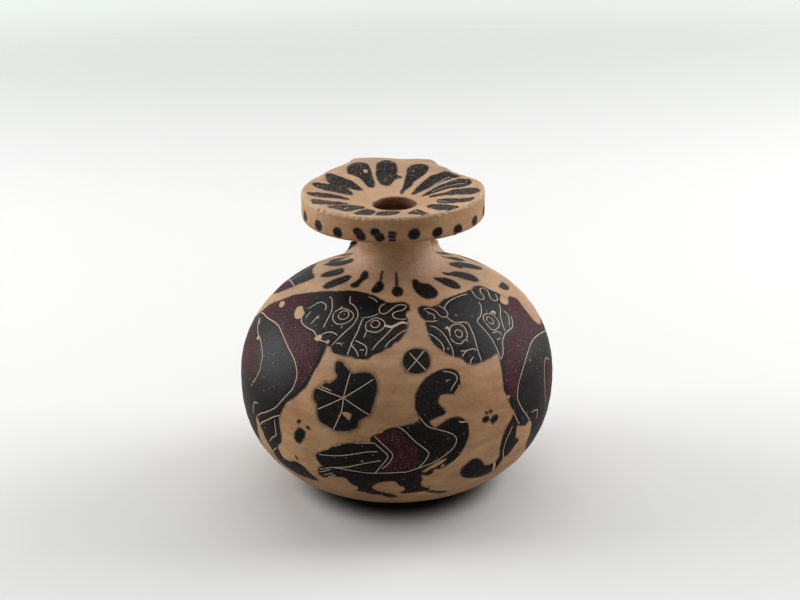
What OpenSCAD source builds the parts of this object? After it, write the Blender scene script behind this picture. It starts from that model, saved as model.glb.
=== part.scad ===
// Round aryballos: a small oil flask of fired clay, with a disc mouth and a strap handle.
// It is built up from thrown and pulled pieces, luted together with soft clay.
// The origin is the middle of the foot, +Z is up and the handle is at the back, on +Y.

/* [Globe] */
// Largest radius of the globe
globe_r = 33; // [30:0.5:38]
// Height of the widest place above the foot
belly_z = 23.8; // [21:0.2:27]
// Radius of the flat that the globe stands on
foot_r = 10; // [7:0.5:13]
// Height of the seat that carries the neck
seat_z = 48.2; // [45:0.2:52]
// Fullness of the curve below the widest place, where 2 is an ellipse
lower_fullness = 2.34; // [2.1:0.02:2.7]
// Fullness of the curve above the widest place, where 2 is an ellipse
upper_fullness = 2.24; // [2.1:0.02:2.6]
// Thickness of the globe's wall
wall_t = 3; // [2.2:0.1:3.8]
// Thickness of the globe's floor
floor_t = 3.6; // [2.5:0.1:5]

/* [Neck] */
// Outer radius of the neck
neck_r = 7.55; // [6.6:0.05:8.4]
// Radius of the throat, which runs from the mouth into the globe
bore_r = 4.75; // [4:0.05:5.6]
// Height of the neck between its seat and the underside of the mouth
neck_h = 10.2; // [8:0.2:13]

/* [Mouth] */
// Radius of the mouth disc
disc_r = 18.7; // [17:0.1:20.5]
// Thickness of the mouth disc at its rim
rim_t = 6; // [4.6:0.1:7.5]
// Depth of the dish from the rim to the throat
dish_d = 2.5; // [1.5:0.1:3]
// Rounding of the rim's lower edge
rim_low_round = 1; // [0.6:0.1:1.3]
// Rounding of the rim's upper edge
rim_top_round = 1.6; // [1:0.1:2]
// Rounding of the dish's edge where it turns down into the throat
throat_round = 0.8; // [0.4:0.1:1.2]

/* [Handle] */
// How far the strap's outer face stands behind the edge of the mouth disc
strap_out = 4.8; // [4.2:0.1:6.5]
// Thickness of the strap
strap_t = 4; // [3:0.1:4.6]
// Width of the strap where it joins the mouth
strap_top_w = 20.6; // [17:0.2:24]
// Width of the strap at its narrowest, half way up
strap_mid_w = 19; // [15:0.2:22]
// Width of the strap at its foot
strap_foot_w = 22.4; // [18:0.2:26]
// Thickness of the lug that joins the strap to the mouth
lug_t = 4; // [3:0.1:4.3]
// How far the top of the lug lies below the top of the rim
lug_drop = 0.2; // [0.1:0.05:0.5]
// Rounding of the strap's long edges
strap_round = 1.3; // [0.8:0.1:1.4]
// Rounding of the lug's upper edge
lug_round = 1.5; // [0.8:0.1:1.8]

/* [Luting clay] */
// Radius of the hollow curve that runs from the neck into the shoulder
neck_flare_r = 5; // [3.5:0.1:6.2]
// Height and width of the clay under the mouth disc
mouth_luting_w = 1.6; // [1:0.1:2.2]
// Height and width of the clay in the angle between the mouth and the strap
rim_luting_w = 3; // [2.2:0.1:3.6]
// How far the clay at the strap's foot spreads on the shoulder
foot_luting_w = 2.4; // [1.6:0.1:3]
// Height of the clay at the strap's foot
foot_luting_h = 3; // [2:0.1:4]
// Thickness of the clay at its smoothed edges
luting_edge = 0.35; // [0.2:0.05:0.5]

/* [Hidden] */
clay = "#c08a58";
wet_clay = "#b07c4c";
round_fn = 96;

// Steps along each quarter of the globe's curve, each rounded edge and each long side
globe_steps = 16;
edge_steps = 6;
side_steps = 8;

// Heights that follow from the stack of globe, neck and mouth
disc_z = seat_z + neck_h;
rim_z = disc_z + rim_t;
throat_z = rim_z - dish_d;

// Half heights of the two curves that make the outside of the globe
lower_h = belly_z / superellipse(foot_r / globe_r, lower_fullness);
upper_h = (seat_z - belly_z) / superellipse(neck_r / globe_r, upper_fullness);

// The hollow of the globe, a wall inside its outer curves
hollow_r = globe_r - wall_t;
hollow_lower_h = belly_z - floor_t;
hollow_upper_h = (seat_z - wall_t - belly_z) / superellipse(bore_r / hollow_r, upper_fullness);

// Faces and foot of the strap
strap_outer_y = disc_r + strap_out;
strap_inner_y = strap_outer_y - strap_t;
strap_mid_y = strap_outer_y - strap_t / 2;
lug_top_z = rim_z - lug_drop;
lug_low_z = lug_top_z - lug_t;
// The strap is cut by the globe, so it starts this far below the shoulder's surface
strap_root = 4;
strap_foot_z = globe_z(strap_outer_y) - strap_root;
strap_mid_z = (globe_z(strap_mid_y) + lug_low_z) / 2;
// The lug is cut by the mouth disc, so it starts this far inside the disc's edge
lug_root = 5.5;
// Height over which the strap's inner face turns into the lug's underside
lug_turn = 0.6;

// Height of a superellipse of unit half axes at distance x from its middle
function superellipse(x, fullness) = pow(1 - pow(x, fullness), 1 / fullness);

// Height of the globe's outer surface above the widest place, at radius r
function globe_z(r) = belly_z + upper_h * superellipse(r / globe_r, upper_fullness);

// Points of a superellipse about the widest place, from radius r0 to r1.
// The sign says whether it lies above or below that place.
function globe_curve(r_max, half_h, fullness, r0, r1, sign) =
    let (a0 = acos(pow(r0 / r_max, fullness / 2)), a1 = acos(pow(r1 / r_max, fullness / 2)))
    [for (i = [0:globe_steps])
        let (a = a0 + (a1 - a0) * i / globe_steps)
        [r_max * pow(cos(a), 2 / fullness),
            belly_z + sign * half_h * pow(abs(sin(a)), 2 / fullness)]];

// Points of an arc from angle a0 to a1
function arc(centre, r, a0, a1) =
    [for (i = [0:edge_steps])
        let (a = a0 + (a1 - a0) * i / edge_steps)
        centre + r * [cos(a), sin(a)]];

// Leaves out the first point of a curve, which its neighbour already gives
function rest(points) = [for (i = [1:len(points) - 1]) points[i]];

// Outer curve of the globe, from the edge of the foot to the seat of the neck
function globe_outline() = concat(
    globe_curve(globe_r, lower_h, lower_fullness, foot_r, globe_r, -1),
    rest(globe_curve(globe_r, upper_h, upper_fullness, globe_r, neck_r, 1)));

// Inner curve of the globe, from the throat down to the middle of the floor
function hollow_outline() = concat(
    globe_curve(hollow_r, hollow_upper_h, upper_fullness, bore_r, hollow_r, 1),
    rest(globe_curve(hollow_r, hollow_lower_h, lower_fullness, hollow_r, 0, -1)));

// Outer edge of the mouth disc, from its underside to its top
function rim_outline() = concat(
    arc([disc_r - rim_low_round, disc_z + rim_low_round], rim_low_round, -90, 0),
    arc([disc_r - rim_top_round, rim_z - rim_top_round], rim_top_round, 0, 90));

// The globe with nothing hollowed out, which cuts what is luted onto it
module globe_solid() {
    rotate_extrude($fn = round_fn)
        polygon(concat([[0, 0]], globe_outline(), [[0, seat_z]]));
}

// The mouth disc without its dish, carried on upwards, which cuts the lug
module disc_solid() {
    rotate_extrude($fn = round_fn)
        polygon(concat([[0, disc_z]], rim_outline(),
            [[disc_r - rim_top_round, rim_z + rim_t], [0, rim_z + rim_t]]));
}

// Half width of the strap at height z, through its widths at foot, middle and top
function strap_half_w(z) =
    z < strap_mid_z
        ? (strap_mid_w + (strap_foot_w - strap_mid_w)
            * pow((strap_mid_z - z) / (strap_mid_z - strap_foot_z), 2)) / 2
        : (strap_mid_w + (strap_top_w - strap_mid_w)
            * pow((z - strap_mid_z) / (lug_top_z - strap_mid_z), 2)) / 2;

// Outline of one slice: half width w, from y0 to y1, with rounded corners
// and with points along its two long sides, so that they can follow a curved surface
function slice(w, y0, y1, r) = concat(
    arc([w - r, y0 + r], r, -90, 0),
    arc([w - r, y1 - r], r, 0, 90),
    between([w - r, y1], [r - w, y1]),
    arc([r - w, y1 - r], r, 90, 180),
    arc([r - w, y0 + r], r, 180, 270),
    between([r - w, y0], [w - r, y0]));

// Points between two others, without those two
function between(a, b) = [for (i = [1:side_steps - 1]) a + (b - a) * i / side_steps];

// A solid through slices of as many points each, from the lowest to the highest,
// closed at both ends by triangles round the middle of the slice
module loft(slices) {
    n = len(slices[0]);
    top = (len(slices) - 1) * n;
    low_middle = len(slices) * n;
    points = concat([for (s = slices) each s], [middle(slices[0]), middle(slices[len(slices) - 1])]);
    sides = [for (j = [0:len(slices) - 2]) for (i = [0:n - 1])
        let (a = j * n + i, b = j * n + (i + 1) % n)
        each [[a, a + n, b], [b, a + n, b + n]]];
    ends = [for (i = [0:n - 1])
        let (next = (i + 1) % n)
        each [[i, next, low_middle], [top + next, top + i, low_middle + 1]]];
    polyhedron(points = points, faces = concat(sides, ends));
}

// Middle of a ring of points
function middle(points) = [for (p = points) 1] * points / len(points);

// The strap and its lug before the globe and the mouth cut them
module strap_solid() {
    straight = 6;
    edge = [for (i = [0:edge_steps]) 90 * i / edge_steps];
    loft(concat(
        [for (i = [0:straight])
            let (z = strap_foot_z + (lug_low_z - lug_turn - strap_foot_z) * i / straight)
            strap_slice(z, strap_inner_y, 0)],
        [strap_slice(lug_low_z, disc_r - lug_root, 0)],
        [for (a = edge)
            strap_slice(lug_top_z - lug_round * (1 - sin(a)), disc_r - lug_root,
                lug_round * (1 - cos(a)))]));
}

// One slice of the strap at height z, with its inner face at y0 and its edges drawn in
function strap_slice(z, y0, drawn_in) =
    [for (p = slice(strap_half_w(z) - drawn_in, y0, strap_outer_y - drawn_in, strap_round))
        [p.x, p.y, z]];

// Globe, thrown with its floor and left open under the neck
module body() {
    color(clay)
        rotate_extrude($fn = round_fn)
            polygon(concat([[0, 0]], globe_outline(), [[bore_r, seat_z]],
                hollow_outline()));
}

// Neck, a thrown tube that stands on the seat
module neck() {
    color(clay)
        translate([0, 0, seat_z])
            difference() {
                cylinder(h = neck_h, r = neck_r, $fn = round_fn);
                translate([0, 0, -1]) cylinder(h = neck_h + 2, r = bore_r, $fn = round_fn);
            }
}

// Mouth disc, a thrown plate with a shallow dish that falls to the throat
module mouth_disc() {
    color(clay)
        rotate_extrude($fn = round_fn)
            polygon(concat([[bore_r, disc_z]], rim_outline(),
                arc([bore_r + throat_round, throat_z - throat_round], throat_round, 90, 180)));
}

// Handle, a pulled strap from the shoulder to the back of the mouth
module handle() {
    color(clay)
        difference() {
            strap_solid();
            globe_solid();
            disc_solid();
        }
}

// Clay smoothed into the angle where the neck stands on the shoulder
module neck_luting() {
    flare_x = neck_r + neck_flare_r;
    flare_z = globe_z(flare_x) + neck_flare_r;
    color(wet_clay)
        rotate_extrude($fn = round_fn)
            difference() {
                polygon(concat([[neck_r, belly_z], [neck_r, flare_z]],
                    arc([flare_x, flare_z], neck_flare_r - luting_edge, 180, 270),
                    [[flare_x, belly_z]]));
                polygon(concat([[0, 0]], globe_outline(), [[0, seat_z]]));
            }
}

// Clay smoothed into the angle between the neck and the mouth disc
module mouth_luting() {
    w = mouth_luting_w;
    color(wet_clay)
        rotate_extrude($fn = round_fn)
            polygon(concat([[neck_r, disc_z], [neck_r, disc_z - w]],
                arc([neck_r + w, disc_z - w], w - luting_edge, 180, 90), [[neck_r + w, disc_z]]));
}

// Clay pressed into the angle between the strap and the underside of the mouth
module handle_rim_luting() {
    half_w = strap_mid_w / 2 - strap_round;
    low_z = disc_z - rim_luting_w;
    in_y = strap_inner_y - rim_luting_w;
    color(wet_clay)
        difference() {
            translate([-half_w, in_y, low_z])
                cube([2 * half_w, strap_mid_y - in_y, lug_low_z + lug_t / 2 - low_z]);
            translate([-half_w - 1, in_y, low_z]) rotate([0, 90, 0])
                cylinder(h = 2 * half_w + 2, r = rim_luting_w - luting_edge, $fn = round_fn);
            strap_solid();
            disc_solid();
        }
}

// Clay smoothed round the strap where it meets the shoulder
module handle_foot_luting() {
    half_w = strap_half_w(globe_z(strap_mid_y));
    // Spread from the strap and height over the shoulder of each slice:
    // a root inside the globe, then a hollow curve up the strap
    slices = concat([[foot_luting_w + luting_edge, -strap_root / 2]],
        [for (i = [0:edge_steps])
            let (a = 90 * i / edge_steps)
            [luting_edge + foot_luting_w * (1 - sin(a)),
                luting_edge + foot_luting_h * (1 - cos(a))]]);
    color(wet_clay)
        difference() {
            loft([for (s = slices)
                [for (p = slice(half_w + s[0], strap_inner_y - s[0], strap_outer_y + s[0],
                        strap_round + s[0]))
                    [p.x, p.y, globe_z(norm(p)) + s[1]]]]);
            strap_solid();
            globe_solid();
        }
}

body();
neck();
mouth_disc();
handle();
neck_luting();
mouth_luting();
handle_rim_luting();
handle_foot_luting();
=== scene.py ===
import math
import random

import bpy
import numpy as np
from mathutils import Matrix, Vector
from mathutils.geometry import delaunay_2d_cdt


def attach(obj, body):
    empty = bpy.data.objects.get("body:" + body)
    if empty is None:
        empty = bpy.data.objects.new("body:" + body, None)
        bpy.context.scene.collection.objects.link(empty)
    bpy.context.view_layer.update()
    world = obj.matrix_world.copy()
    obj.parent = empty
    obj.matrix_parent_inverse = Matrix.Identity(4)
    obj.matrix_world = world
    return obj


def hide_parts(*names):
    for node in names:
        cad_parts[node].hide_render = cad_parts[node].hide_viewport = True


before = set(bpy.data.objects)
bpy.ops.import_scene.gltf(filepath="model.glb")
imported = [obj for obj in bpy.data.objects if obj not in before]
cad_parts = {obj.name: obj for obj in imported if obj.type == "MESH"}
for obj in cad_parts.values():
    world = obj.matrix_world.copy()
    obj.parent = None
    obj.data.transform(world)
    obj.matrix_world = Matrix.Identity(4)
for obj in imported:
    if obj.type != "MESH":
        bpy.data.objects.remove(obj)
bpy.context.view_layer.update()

# A small round oil flask of fired clay, painted in black and purple slip with incised lines.
# Lengths are in millimetres until a mesh is made, then in metres. +Z is up, the front is -Y.
mm = 0.001
dice = random.Random(7)

globe = {
    "radius": 33.0,
    "bellyHeight": 23.8,
    "footRadius": 10.0,
    "footRound": 0.7,
    "seatHeight": 48.2,
    "lowerFullness": 2.34,
    "upperFullness": 2.24,
    "wall": 3.0,
    "floor": 3.6,
    "around": 300,          # faces round the globe
    "wobble": 0.10,         # how far the hand-thrown wall wanders
    "ripple": 0.022,        # height of the throwing rings
    "ringSpacing": 2.6,     # distance between throwing rings
}
neck = {
    "radius": 7.55,
    "bore": 4.75,
    "flareRadius": 13.4,    # where the luting clay starts to rise from the shoulder
    "flareTop": 52.6,       # where it has run out on the neck
    "shoulderPull": 3.6,    # longer pulls make its hollow curve tighter
    "neckPull": 2.8,
    "darkRadius": 6.0,      # the bore inside this radius is dark brown
    "around": 160,          # faces round the neck and the ring of luting above it
    "flareAround": 240,
}
mouth = {
    "radius": 18.7,
    "low": 58.4,
    "high": 64.4,
    "dish": 3.15,
    "dishHollow": 0.30,     # how far the slope of the dish is hollowed
    "lowRound": 1.0,
    "topRound": 0.7,
    "throatRound": 0.5,
    "throat": 4.5,          # radius of the mouth's hole, a little less than the neck's bore
    "throatLow": 60.0,      # the throat has this radius down to here
    "boreHigh": 59.6,       # and the neck's bore comes up to here
    "offCentre": 0.3,       # how far the hole sits to the right of the disc's middle
    "evenRadius": 12.0,     # outside this radius the dish is true to the disc
    "evenRun": 7.0,         # and it has moved by all of offCentre this much further in
    "tiltBack": 0.025,      # how much the top rises per millimetre towards the handle
    "tiltRight": 0.007,
    "sunk": 0.12,
    "sag": 0.9,             # depth of the place that sagged, behind on the right
    "sagPlace": (14, 11),
    "sagReach": 7.0,
    "rimRun": 3.8,          # the tilt runs out downwards over this much of the rim
    "throatRun": 1.4,       # and over this much of the throat
    "ripple": 0.03,         # height of the turning rings in the dish
    "ringSpacing": 2.1,
    "wobble": 0.05,         # slow unevenness of the dish and of the rim
    "rippleFade": 1.2,
    "rimReach": 2.0,        # the rim's unevenness runs out this far inside it
    "nicks": 0.20,          # depth of the worn places on the rim
    "nickLevel": 0.35,      # they are deepest this far under the top
    "nickReach": 0.6,       # and run out this far above and below that
    "nickWidth": 1.3,       # they go this far in from the edge
    "chippedIn": 0.75,      # width of the worn band on top of the rim
    "chippedDown": 0.6,
    "darkHeight": 60.95,    # the throat is dark brown up to here
    "paintMargin": 0.35,    # paint keeps this far inside the disc's edge
    "luting": 1.6,          # clay under the disc, round the neck
    "around": 400,
}
handle = {
    "outer": 23.5,          # y of the strap's back face
    "thick": 4.0,
    "topWidth": 20.6,
    "midWidth": 17.4,
    "footWidth": 22.4,
    "waist": 51.5,          # height where the strap is narrowest
    "root": 38.5,           # height where it is as wide as its foot
    "bottom": 38.4,         # it ends here, inside the globe
    "lugTop": 64.45,
    "lugThick": 4.0,
    "lugStart": 8.0,        # y where the lug starts, inside the disc
    "lugProud": 0.09,       # the lug lies this far over the disc beyond lugShows
    "lugShows": 15.2,
    "lugBedded": 0.05,      # and this far under it nearer to the middle
    "fallFrom": 15.0,       # y where the lug starts to fall away to its sides
    "fallRun": 5.0,
    # Each fall starts at an x, goes on for this much to the right (or left) and has this slope
    "falls": [(-4, 9, 0.045), (5, 6, 0.12), (-6, -6, 0.05)],
    "thumbDip": 0.28,       # dip where the potter's thumb pressed the lug
    "thumbPlace": 2.5,
    "thumbWidth": 3.2,
    "edgeRound": 1.35,
    "cornerRound": 1.7,     # radius over the outer corner, from the lug down into the strap
    "innerRound": 0.9,
    # Half the lug's width on its left and right side, at places from inside the disc to the back
    "lugPlaces": [8.0, 10.0, 12.0, 13.4, 15.0, 16.8, 18.5, 20.0, 21.4],
    "lugLeft": [16.6, 16.0, 15.4, 14.7, 13.6, 12.3, 11.1, 10.1, 9.2],
    "lugRight": [16.4, 15.4, 14.2, 13.3, 12.5, 11.6, 10.6, 9.7, 8.9],
    "hollow": 0.22,         # how far the middle of the back face is hollowed
    "wobble": 0.06,
    "lutingWidth": 2.6,
    "lutingRise": 2.9,      # how high the luting climbs up the foot of the strap
    "lutingSpread": 1.5,    # it spreads this many times further sideways than back
    "lutingRun": 4.3,       # length of its hollow curve
    "lutingHeight": 43.0,   # it goes round the strap as wide as that is at this height
}
slip = {
    "lift": 0.032,          # the slip stands this far proud, so that its edge shows
    "edgeLift": 0.020,
    "haloLift": 0.008,
    "sink": -0.06,
    "grooveLift": 0.005,
    "halo": 0.45,           # width of the thin brown wash outside an outline
    "lineWidth": 0.17,      # width of an incised line
    "cell": 0.85,           # spacing of the points inside a painted area
    "trace": 0.36,          # spacing of the points along its outline
    "lineTrace": 0.42,      # and along an incised line
    "chipTrace": 0.3,
    "purpleTrace": 0.6,
    "rows": 0.9,            # width between the two rows of points beside an outline
    "outlineClear": 0.3,    # other points keep this far from an outline
    "lineClear": 0.36,
    "onLine": 0.02,         # a point nearer than this lies on the line
    "shake": 0.09,          # unsteadiness of the brush
}


# The shape of the vessel, as curves of (radius, height)

def superellipse(x, fullness):
    return (1 - x ** fullness) ** (1 / fullness)


lowerHeight = globe["bellyHeight"] / superellipse(
    globe["footRadius"] / globe["radius"], globe["lowerFullness"])
upperHeight = (globe["seatHeight"] - globe["bellyHeight"]) / superellipse(
    neck["radius"] / globe["radius"], globe["upperFullness"])


def globeCurve(widest, halfHeight, fullness, startRadius, endRadius, sign, steps):
    startTurn = math.acos((startRadius / widest) ** (fullness / 2))
    endTurn = math.acos((endRadius / widest) ** (fullness / 2))
    turn = np.linspace(startTurn, endTurn, steps)
    radii = widest * np.abs(np.cos(turn)) ** (2 / fullness)
    heights = globe["bellyHeight"] + sign * halfHeight * np.abs(np.sin(turn)) ** (2 / fullness)
    return np.stack([radii, heights], 1)


def bezier(start, startPull, endPull, end, steps):
    t = np.linspace(0, 1, steps)[:, None]
    return ((1 - t) ** 3 * start + 3 * t * (1 - t) ** 2 * startPull
            + 3 * t * t * (1 - t) * endPull + t ** 3 * end)


def arcPoints(centre, radius, startAngle, endAngle, steps):
    turn = np.radians(np.linspace(startAngle, endAngle, steps))
    return np.stack([centre[0] + radius * np.cos(turn), centre[1] + radius * np.sin(turn)], 1)


# The painted outside runs from the foot over the belly and the flare to the top of the neck
lowerCurve = globeCurve(globe["radius"], lowerHeight, globe["lowerFullness"],
                        globe["footRadius"], globe["radius"], -1, 90)
shoulderCurve = globeCurve(globe["radius"], upperHeight, globe["upperFullness"],
                           globe["radius"], neck["flareRadius"], 1, 80)[1:]
seatCurve = globeCurve(globe["radius"], upperHeight, globe["upperFullness"],
                       neck["flareRadius"], neck["radius"], 1, 14)
flareStart = shoulderCurve[-1]
flareSlope = shoulderCurve[-1] - shoulderCurve[-2]
flareSlope = flareSlope / np.linalg.norm(flareSlope)
flareEnd = np.array([neck["radius"], neck["flareTop"]])
flareCurve = bezier(flareStart, flareStart + flareSlope * neck["shoulderPull"],
                    flareEnd - (0, neck["neckPull"]), flareEnd, 26)[1:]
neckCurve = np.array([[neck["radius"], z] for z in np.linspace(neck["flareTop"], mouth["low"], 9)[1:]])
outside = np.concatenate([lowerCurve, shoulderCurve, flareCurve, neckCurve])
outsideRun = np.concatenate([[0], np.cumsum(np.hypot(*np.diff(outside, axis=0).T))])
outsideRun -= outsideRun[len(lowerCurve) - 1]
outsideSlope = np.gradient(outside, outsideRun, axis=0)


def wander(points):
    # The wall's slow unevenness and its throwing rings, as a distance out of the surface
    x, y, z = points[:, 0], points[:, 1], points[:, 2]
    slow = (np.sin(0.11 * x + 0.07 * y + 0.9) * np.sin(0.10 * z + 0.05 * x)
            + 0.6 * np.sin(0.21 * y - 0.13 * z + 2.1) * np.sin(0.17 * x + 0.4)
            + 0.35 * np.sin(0.43 * x + 0.31 * z) * np.sin(0.39 * y + 1.7))
    rings = np.sin(2 * math.pi * (z + 0.05 * x) / globe["ringSpacing"] + 0.7 * np.sin(0.12 * x + 0.1 * y))
    foot = np.clip((z - 0.4) / 5, 0, 1)
    return foot * (globe["wobble"] * slow + globe["ripple"] * rings)


def globeSurface(u, v, lift):
    # u runs round the belly from the front, v up the outside from the belly
    turn = u / globe["radius"]
    radius = np.interp(v, outsideRun, outside[:, 0])
    height = np.interp(v, outsideRun, outside[:, 1])
    slopeR = np.interp(v, outsideRun, outsideSlope[:, 0])
    slopeZ = np.interp(v, outsideRun, outsideSlope[:, 1])
    size = np.hypot(slopeR, slopeZ)
    around = np.stack([np.sin(turn), -np.cos(turn), np.zeros_like(turn)], 1)
    base = around * radius[:, None] + np.stack([0 * height, 0 * height, height], 1)
    out = around * (slopeZ / size)[:, None] + np.stack([0 * turn, 0 * turn, -slopeR / size], 1)
    return base + out * (lift + wander(base))[:, None]


def globeStretch(v):
    # How much shorter a step in u is at v than at the belly
    return np.interp(v, outsideRun, outside[:, 0]) / globe["radius"]


dishStart = mouth["throat"] + mouth["throatRound"]
dishEnd = mouth["radius"] - mouth["topRound"]


def offCentreBy(radius):
    return mouth["offCentre"] * np.clip((mouth["evenRadius"] - radius) / mouth["evenRun"], 0, 1)


def dishRadius(x, y):
    # Distance from the middle of the dish, which lies a little off the disc's middle
    return np.hypot(x - offCentreBy(np.hypot(x, y)), y)


def dishLevel(radius):
    # The dish rises in a straight line with a slight hollow
    along = np.clip((radius - dishStart) / (dishEnd - dishStart), 0, 1)
    return mouth["high"] - mouth["dish"] * (1 - along) - mouth["dishHollow"] * np.sin(math.pi * along)


def mouthHeight(radius):
    # The dish rounds over at the rim and down into the throat
    past = np.clip((radius - dishEnd) / mouth["topRound"], 0, 1)
    rounded = mouth["high"] - mouth["topRound"] * (1 - np.sqrt(1 - past ** 2))
    throat = np.clip((dishStart - radius) / mouth["throatRound"], 0, 1)
    lip = mouth["high"] - mouth["dish"] - mouth["throatRound"] * (1 - np.sqrt(1 - throat ** 2))
    return np.where(radius > dishEnd, rounded, np.where(radius < dishStart, lip, dishLevel(radius)))


def strapHalfWidth(z):
    waist = handle["waist"]
    up = np.clip((z - waist) / (handle["lugTop"] - waist), 0, 1)
    down = np.clip((waist - z) / (waist - handle["root"]), 0, 1.2)
    return (handle["midWidth"] + (handle["topWidth"] - handle["midWidth"]) * up ** 2
            + (handle["footWidth"] - handle["midWidth"]) * down ** 2) / 2


def lugHalfWidth(y, x):
    return np.where(x < 0, np.interp(y, handle["lugPlaces"], handle["lugLeft"]),
                    np.interp(y, handle["lugPlaces"], handle["lugRight"]))


def lugLevel(x, y):
    # The lug carries the dish's slope on over the disc's edge, so that no step shows between them
    radius = np.hypot(x, y)
    shown = np.clip(radius - handle["lugShows"], 0, 1)
    top = dishLevel(radius) + handle["lugProud"] * shown - handle["lugBedded"]
    fall = sum(slope * np.clip((x - start) * np.sign(run), 0, abs(run))
               for start, run, slope in handle["falls"])
    fall = fall + handle["thumbDip"] * np.exp(-((x - handle["thumbPlace"]) / handle["thumbWidth"]) ** 2)
    behind = np.clip((y - handle["fallFrom"]) / handle["fallRun"], 0, 1)
    return np.minimum(top, handle["lugTop"]) - behind * fall + discTilt(x, y)


def discTilt(x, y):
    # The disc's top isn't quite level: lowest in front, rising towards the lug, sagging behind on the right
    sagX, sagY = mouth["sagPlace"]
    sag = mouth["sag"] * np.exp(-((x - sagX) ** 2 + (y - sagY) ** 2) / mouth["sagReach"] ** 2)
    return mouth["tiltBack"] * y + mouth["tiltRight"] * x - mouth["sunk"] - sag


def lugHeight(x, y):
    # Top of the lug, rounded at its two sides and at the back corner
    half = lugHalfWidth(y, x)
    side = np.clip((np.abs(x) - (half - handle["edgeRound"])) / handle["edgeRound"], 0, 1)
    back = np.clip((y - (handle["outer"] - handle["cornerRound"])) / handle["cornerRound"], 0, 1)
    drop = (handle["edgeRound"] * (1 - np.sqrt(1 - side ** 2))
            + handle["cornerRound"] * (1 - np.sqrt(np.clip(1 - back ** 2, 0, 1))))
    return np.where((np.abs(x) < half) & (y > handle["lugStart"]), lugLevel(x, y) - drop, -1)


def mouthSurface(x, y, lift):
    # Paint that would reach past the disc's edge stays on it
    radius = np.hypot(x, y)
    furthest = mouth["radius"] - mouth["paintMargin"]
    past = (radius > furthest) & (y < handle["lugStart"] + 2)
    scale = np.where(past, furthest / np.maximum(radius, 1), 1)
    x, y = x * scale, y * scale
    disc = mouthHeight(dishRadius(x, y)) + discTilt(x, y)
    height = np.maximum(np.where(np.hypot(x, y) < mouth["radius"], disc, -1), lugHeight(x, y))
    base = np.stack([x, y, height], 1)
    return base + np.stack([0 * x, 0 * x, lift + mouthRipple(base)], 1)


def mouthRipple(points):
    x, y = points[:, 0], points[:, 1]
    radius = np.hypot(x, y)
    rings = mouth["ripple"] * np.sin(2 * math.pi * radius / mouth["ringSpacing"] + 0.6 * np.sin(x * 0.2))
    slow = mouth["wobble"] * np.sin(0.23 * x + 1.2) * np.sin(0.19 * y)
    return (rings + slow) * np.clip((mouth["radius"] - radius) / mouth["rippleFade"], 0, 1)


def rimSurface(u, v, lift):
    # u runs round the rim from the front, v is the height; the lower edge is rounded
    turn = u / mouth["radius"]
    around = np.stack([np.sin(turn), -np.cos(turn), 0 * turn], 1)
    under = np.clip((mouth["low"] + mouth["lowRound"] - v) / mouth["lowRound"], 0, 0.98)
    radius = mouth["radius"] - mouth["lowRound"] * (1 - np.sqrt(1 - under ** 2))
    base = around * radius[:, None] + np.stack([0 * v, 0 * v, v], 1)
    return base + around * (lift + rimRipple(base))[:, None]


def rimRipple(points):
    return mouth["wobble"] * np.sin(0.3 * points[:, 0] + 0.8) * np.sin(0.26 * points[:, 1] + 0.3)


def strapRipple(x, z):
    return handle["wobble"] * np.sin(0.5 * x + 0.3 * z) * np.sin(0.37 * z + 1)


def strapSurface(a, z, lift):
    # a runs round the strap from the middle of its back face, past its edge to the inner face
    edge = handle["edgeRound"]
    flat = strapHalfWidth(z) - edge
    side = handle["thick"] - 2 * edge
    corner = math.pi / 2 * edge    # length of the curve over one rounded edge
    run = np.abs(a)
    sign = np.sign(a)
    turn1 = np.clip((run - flat) / edge, 0, math.pi / 2)
    turn2 = np.clip((run - flat - corner - side) / edge, 0, math.pi / 2)
    down = np.clip(run - flat - corner, 0, side)
    back = np.clip(run - flat - 2 * corner - side, 0, None)
    angle = turn1 + turn2
    reach = np.minimum(run, flat) + edge * np.sin(turn1) - edge * (1 - np.cos(turn2)) - back
    depth = edge * (1 - np.cos(turn1)) + down + edge * np.sin(turn2)
    hollow = handle["hollow"] * np.cos(math.pi / 2 * np.clip(run / (flat + edge), 0, 1)) ** 2
    hollow = np.where(angle > 0.01, 0, hollow)
    x = sign * (reach + lift * np.sin(angle))
    x = x + strapRipple(x, z)
    y = handle["outer"] - depth - hollow + lift * np.cos(angle)
    return np.stack([x, y, z], 1)


# The luting clay round the strap's foot
footHalf = float(strapHalfWidth(np.array([handle["lutingHeight"]]))[0])
footTurns = np.radians(np.linspace(90, -90, 361))


def footPlace(turn, spread):
    # A rounded oblong round the strap, and the direction that points out of it
    power = 0.42    # 1 would make an ellipse, 0 a box
    cosine, sine = np.cos(turn), np.sin(turn)
    halfThick = handle["thick"] / 2
    halfX, halfY = footHalf + handle["lutingSpread"] * spread, halfThick + spread
    x = halfX * np.sign(cosine) * np.abs(cosine) ** power
    y = handle["outer"] - halfThick + halfY * np.sign(sine) * np.abs(sine) ** power
    out = np.stack([np.sign(cosine) * np.abs(cosine) ** (2 - power) / halfX,
                    np.sign(sine) * np.abs(sine) ** (2 - power) / halfY], -1)
    return x, y, out / np.linalg.norm(out, axis=-1, keepdims=True)


def footCurve(share):
    # From the shoulder (0) to the strap (1): how far out of the strap and how high
    return (handle["lutingWidth"] * (1 - np.sin(share * math.pi / 2)) + 0.02,
            handle["lutingRise"] * (1 - np.cos(share * math.pi / 2)) + 0.01)


def shoulderHeight(radius):
    return np.interp(-radius, -outside[len(lowerCurve) - 1:, 0], outside[len(lowerCurve) - 1:, 1])


footX, footY, _ = footPlace(footTurns, 1.0)
footRun = np.concatenate([[0], np.cumsum(np.hypot(np.diff(footX), np.diff(footY)))])


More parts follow.
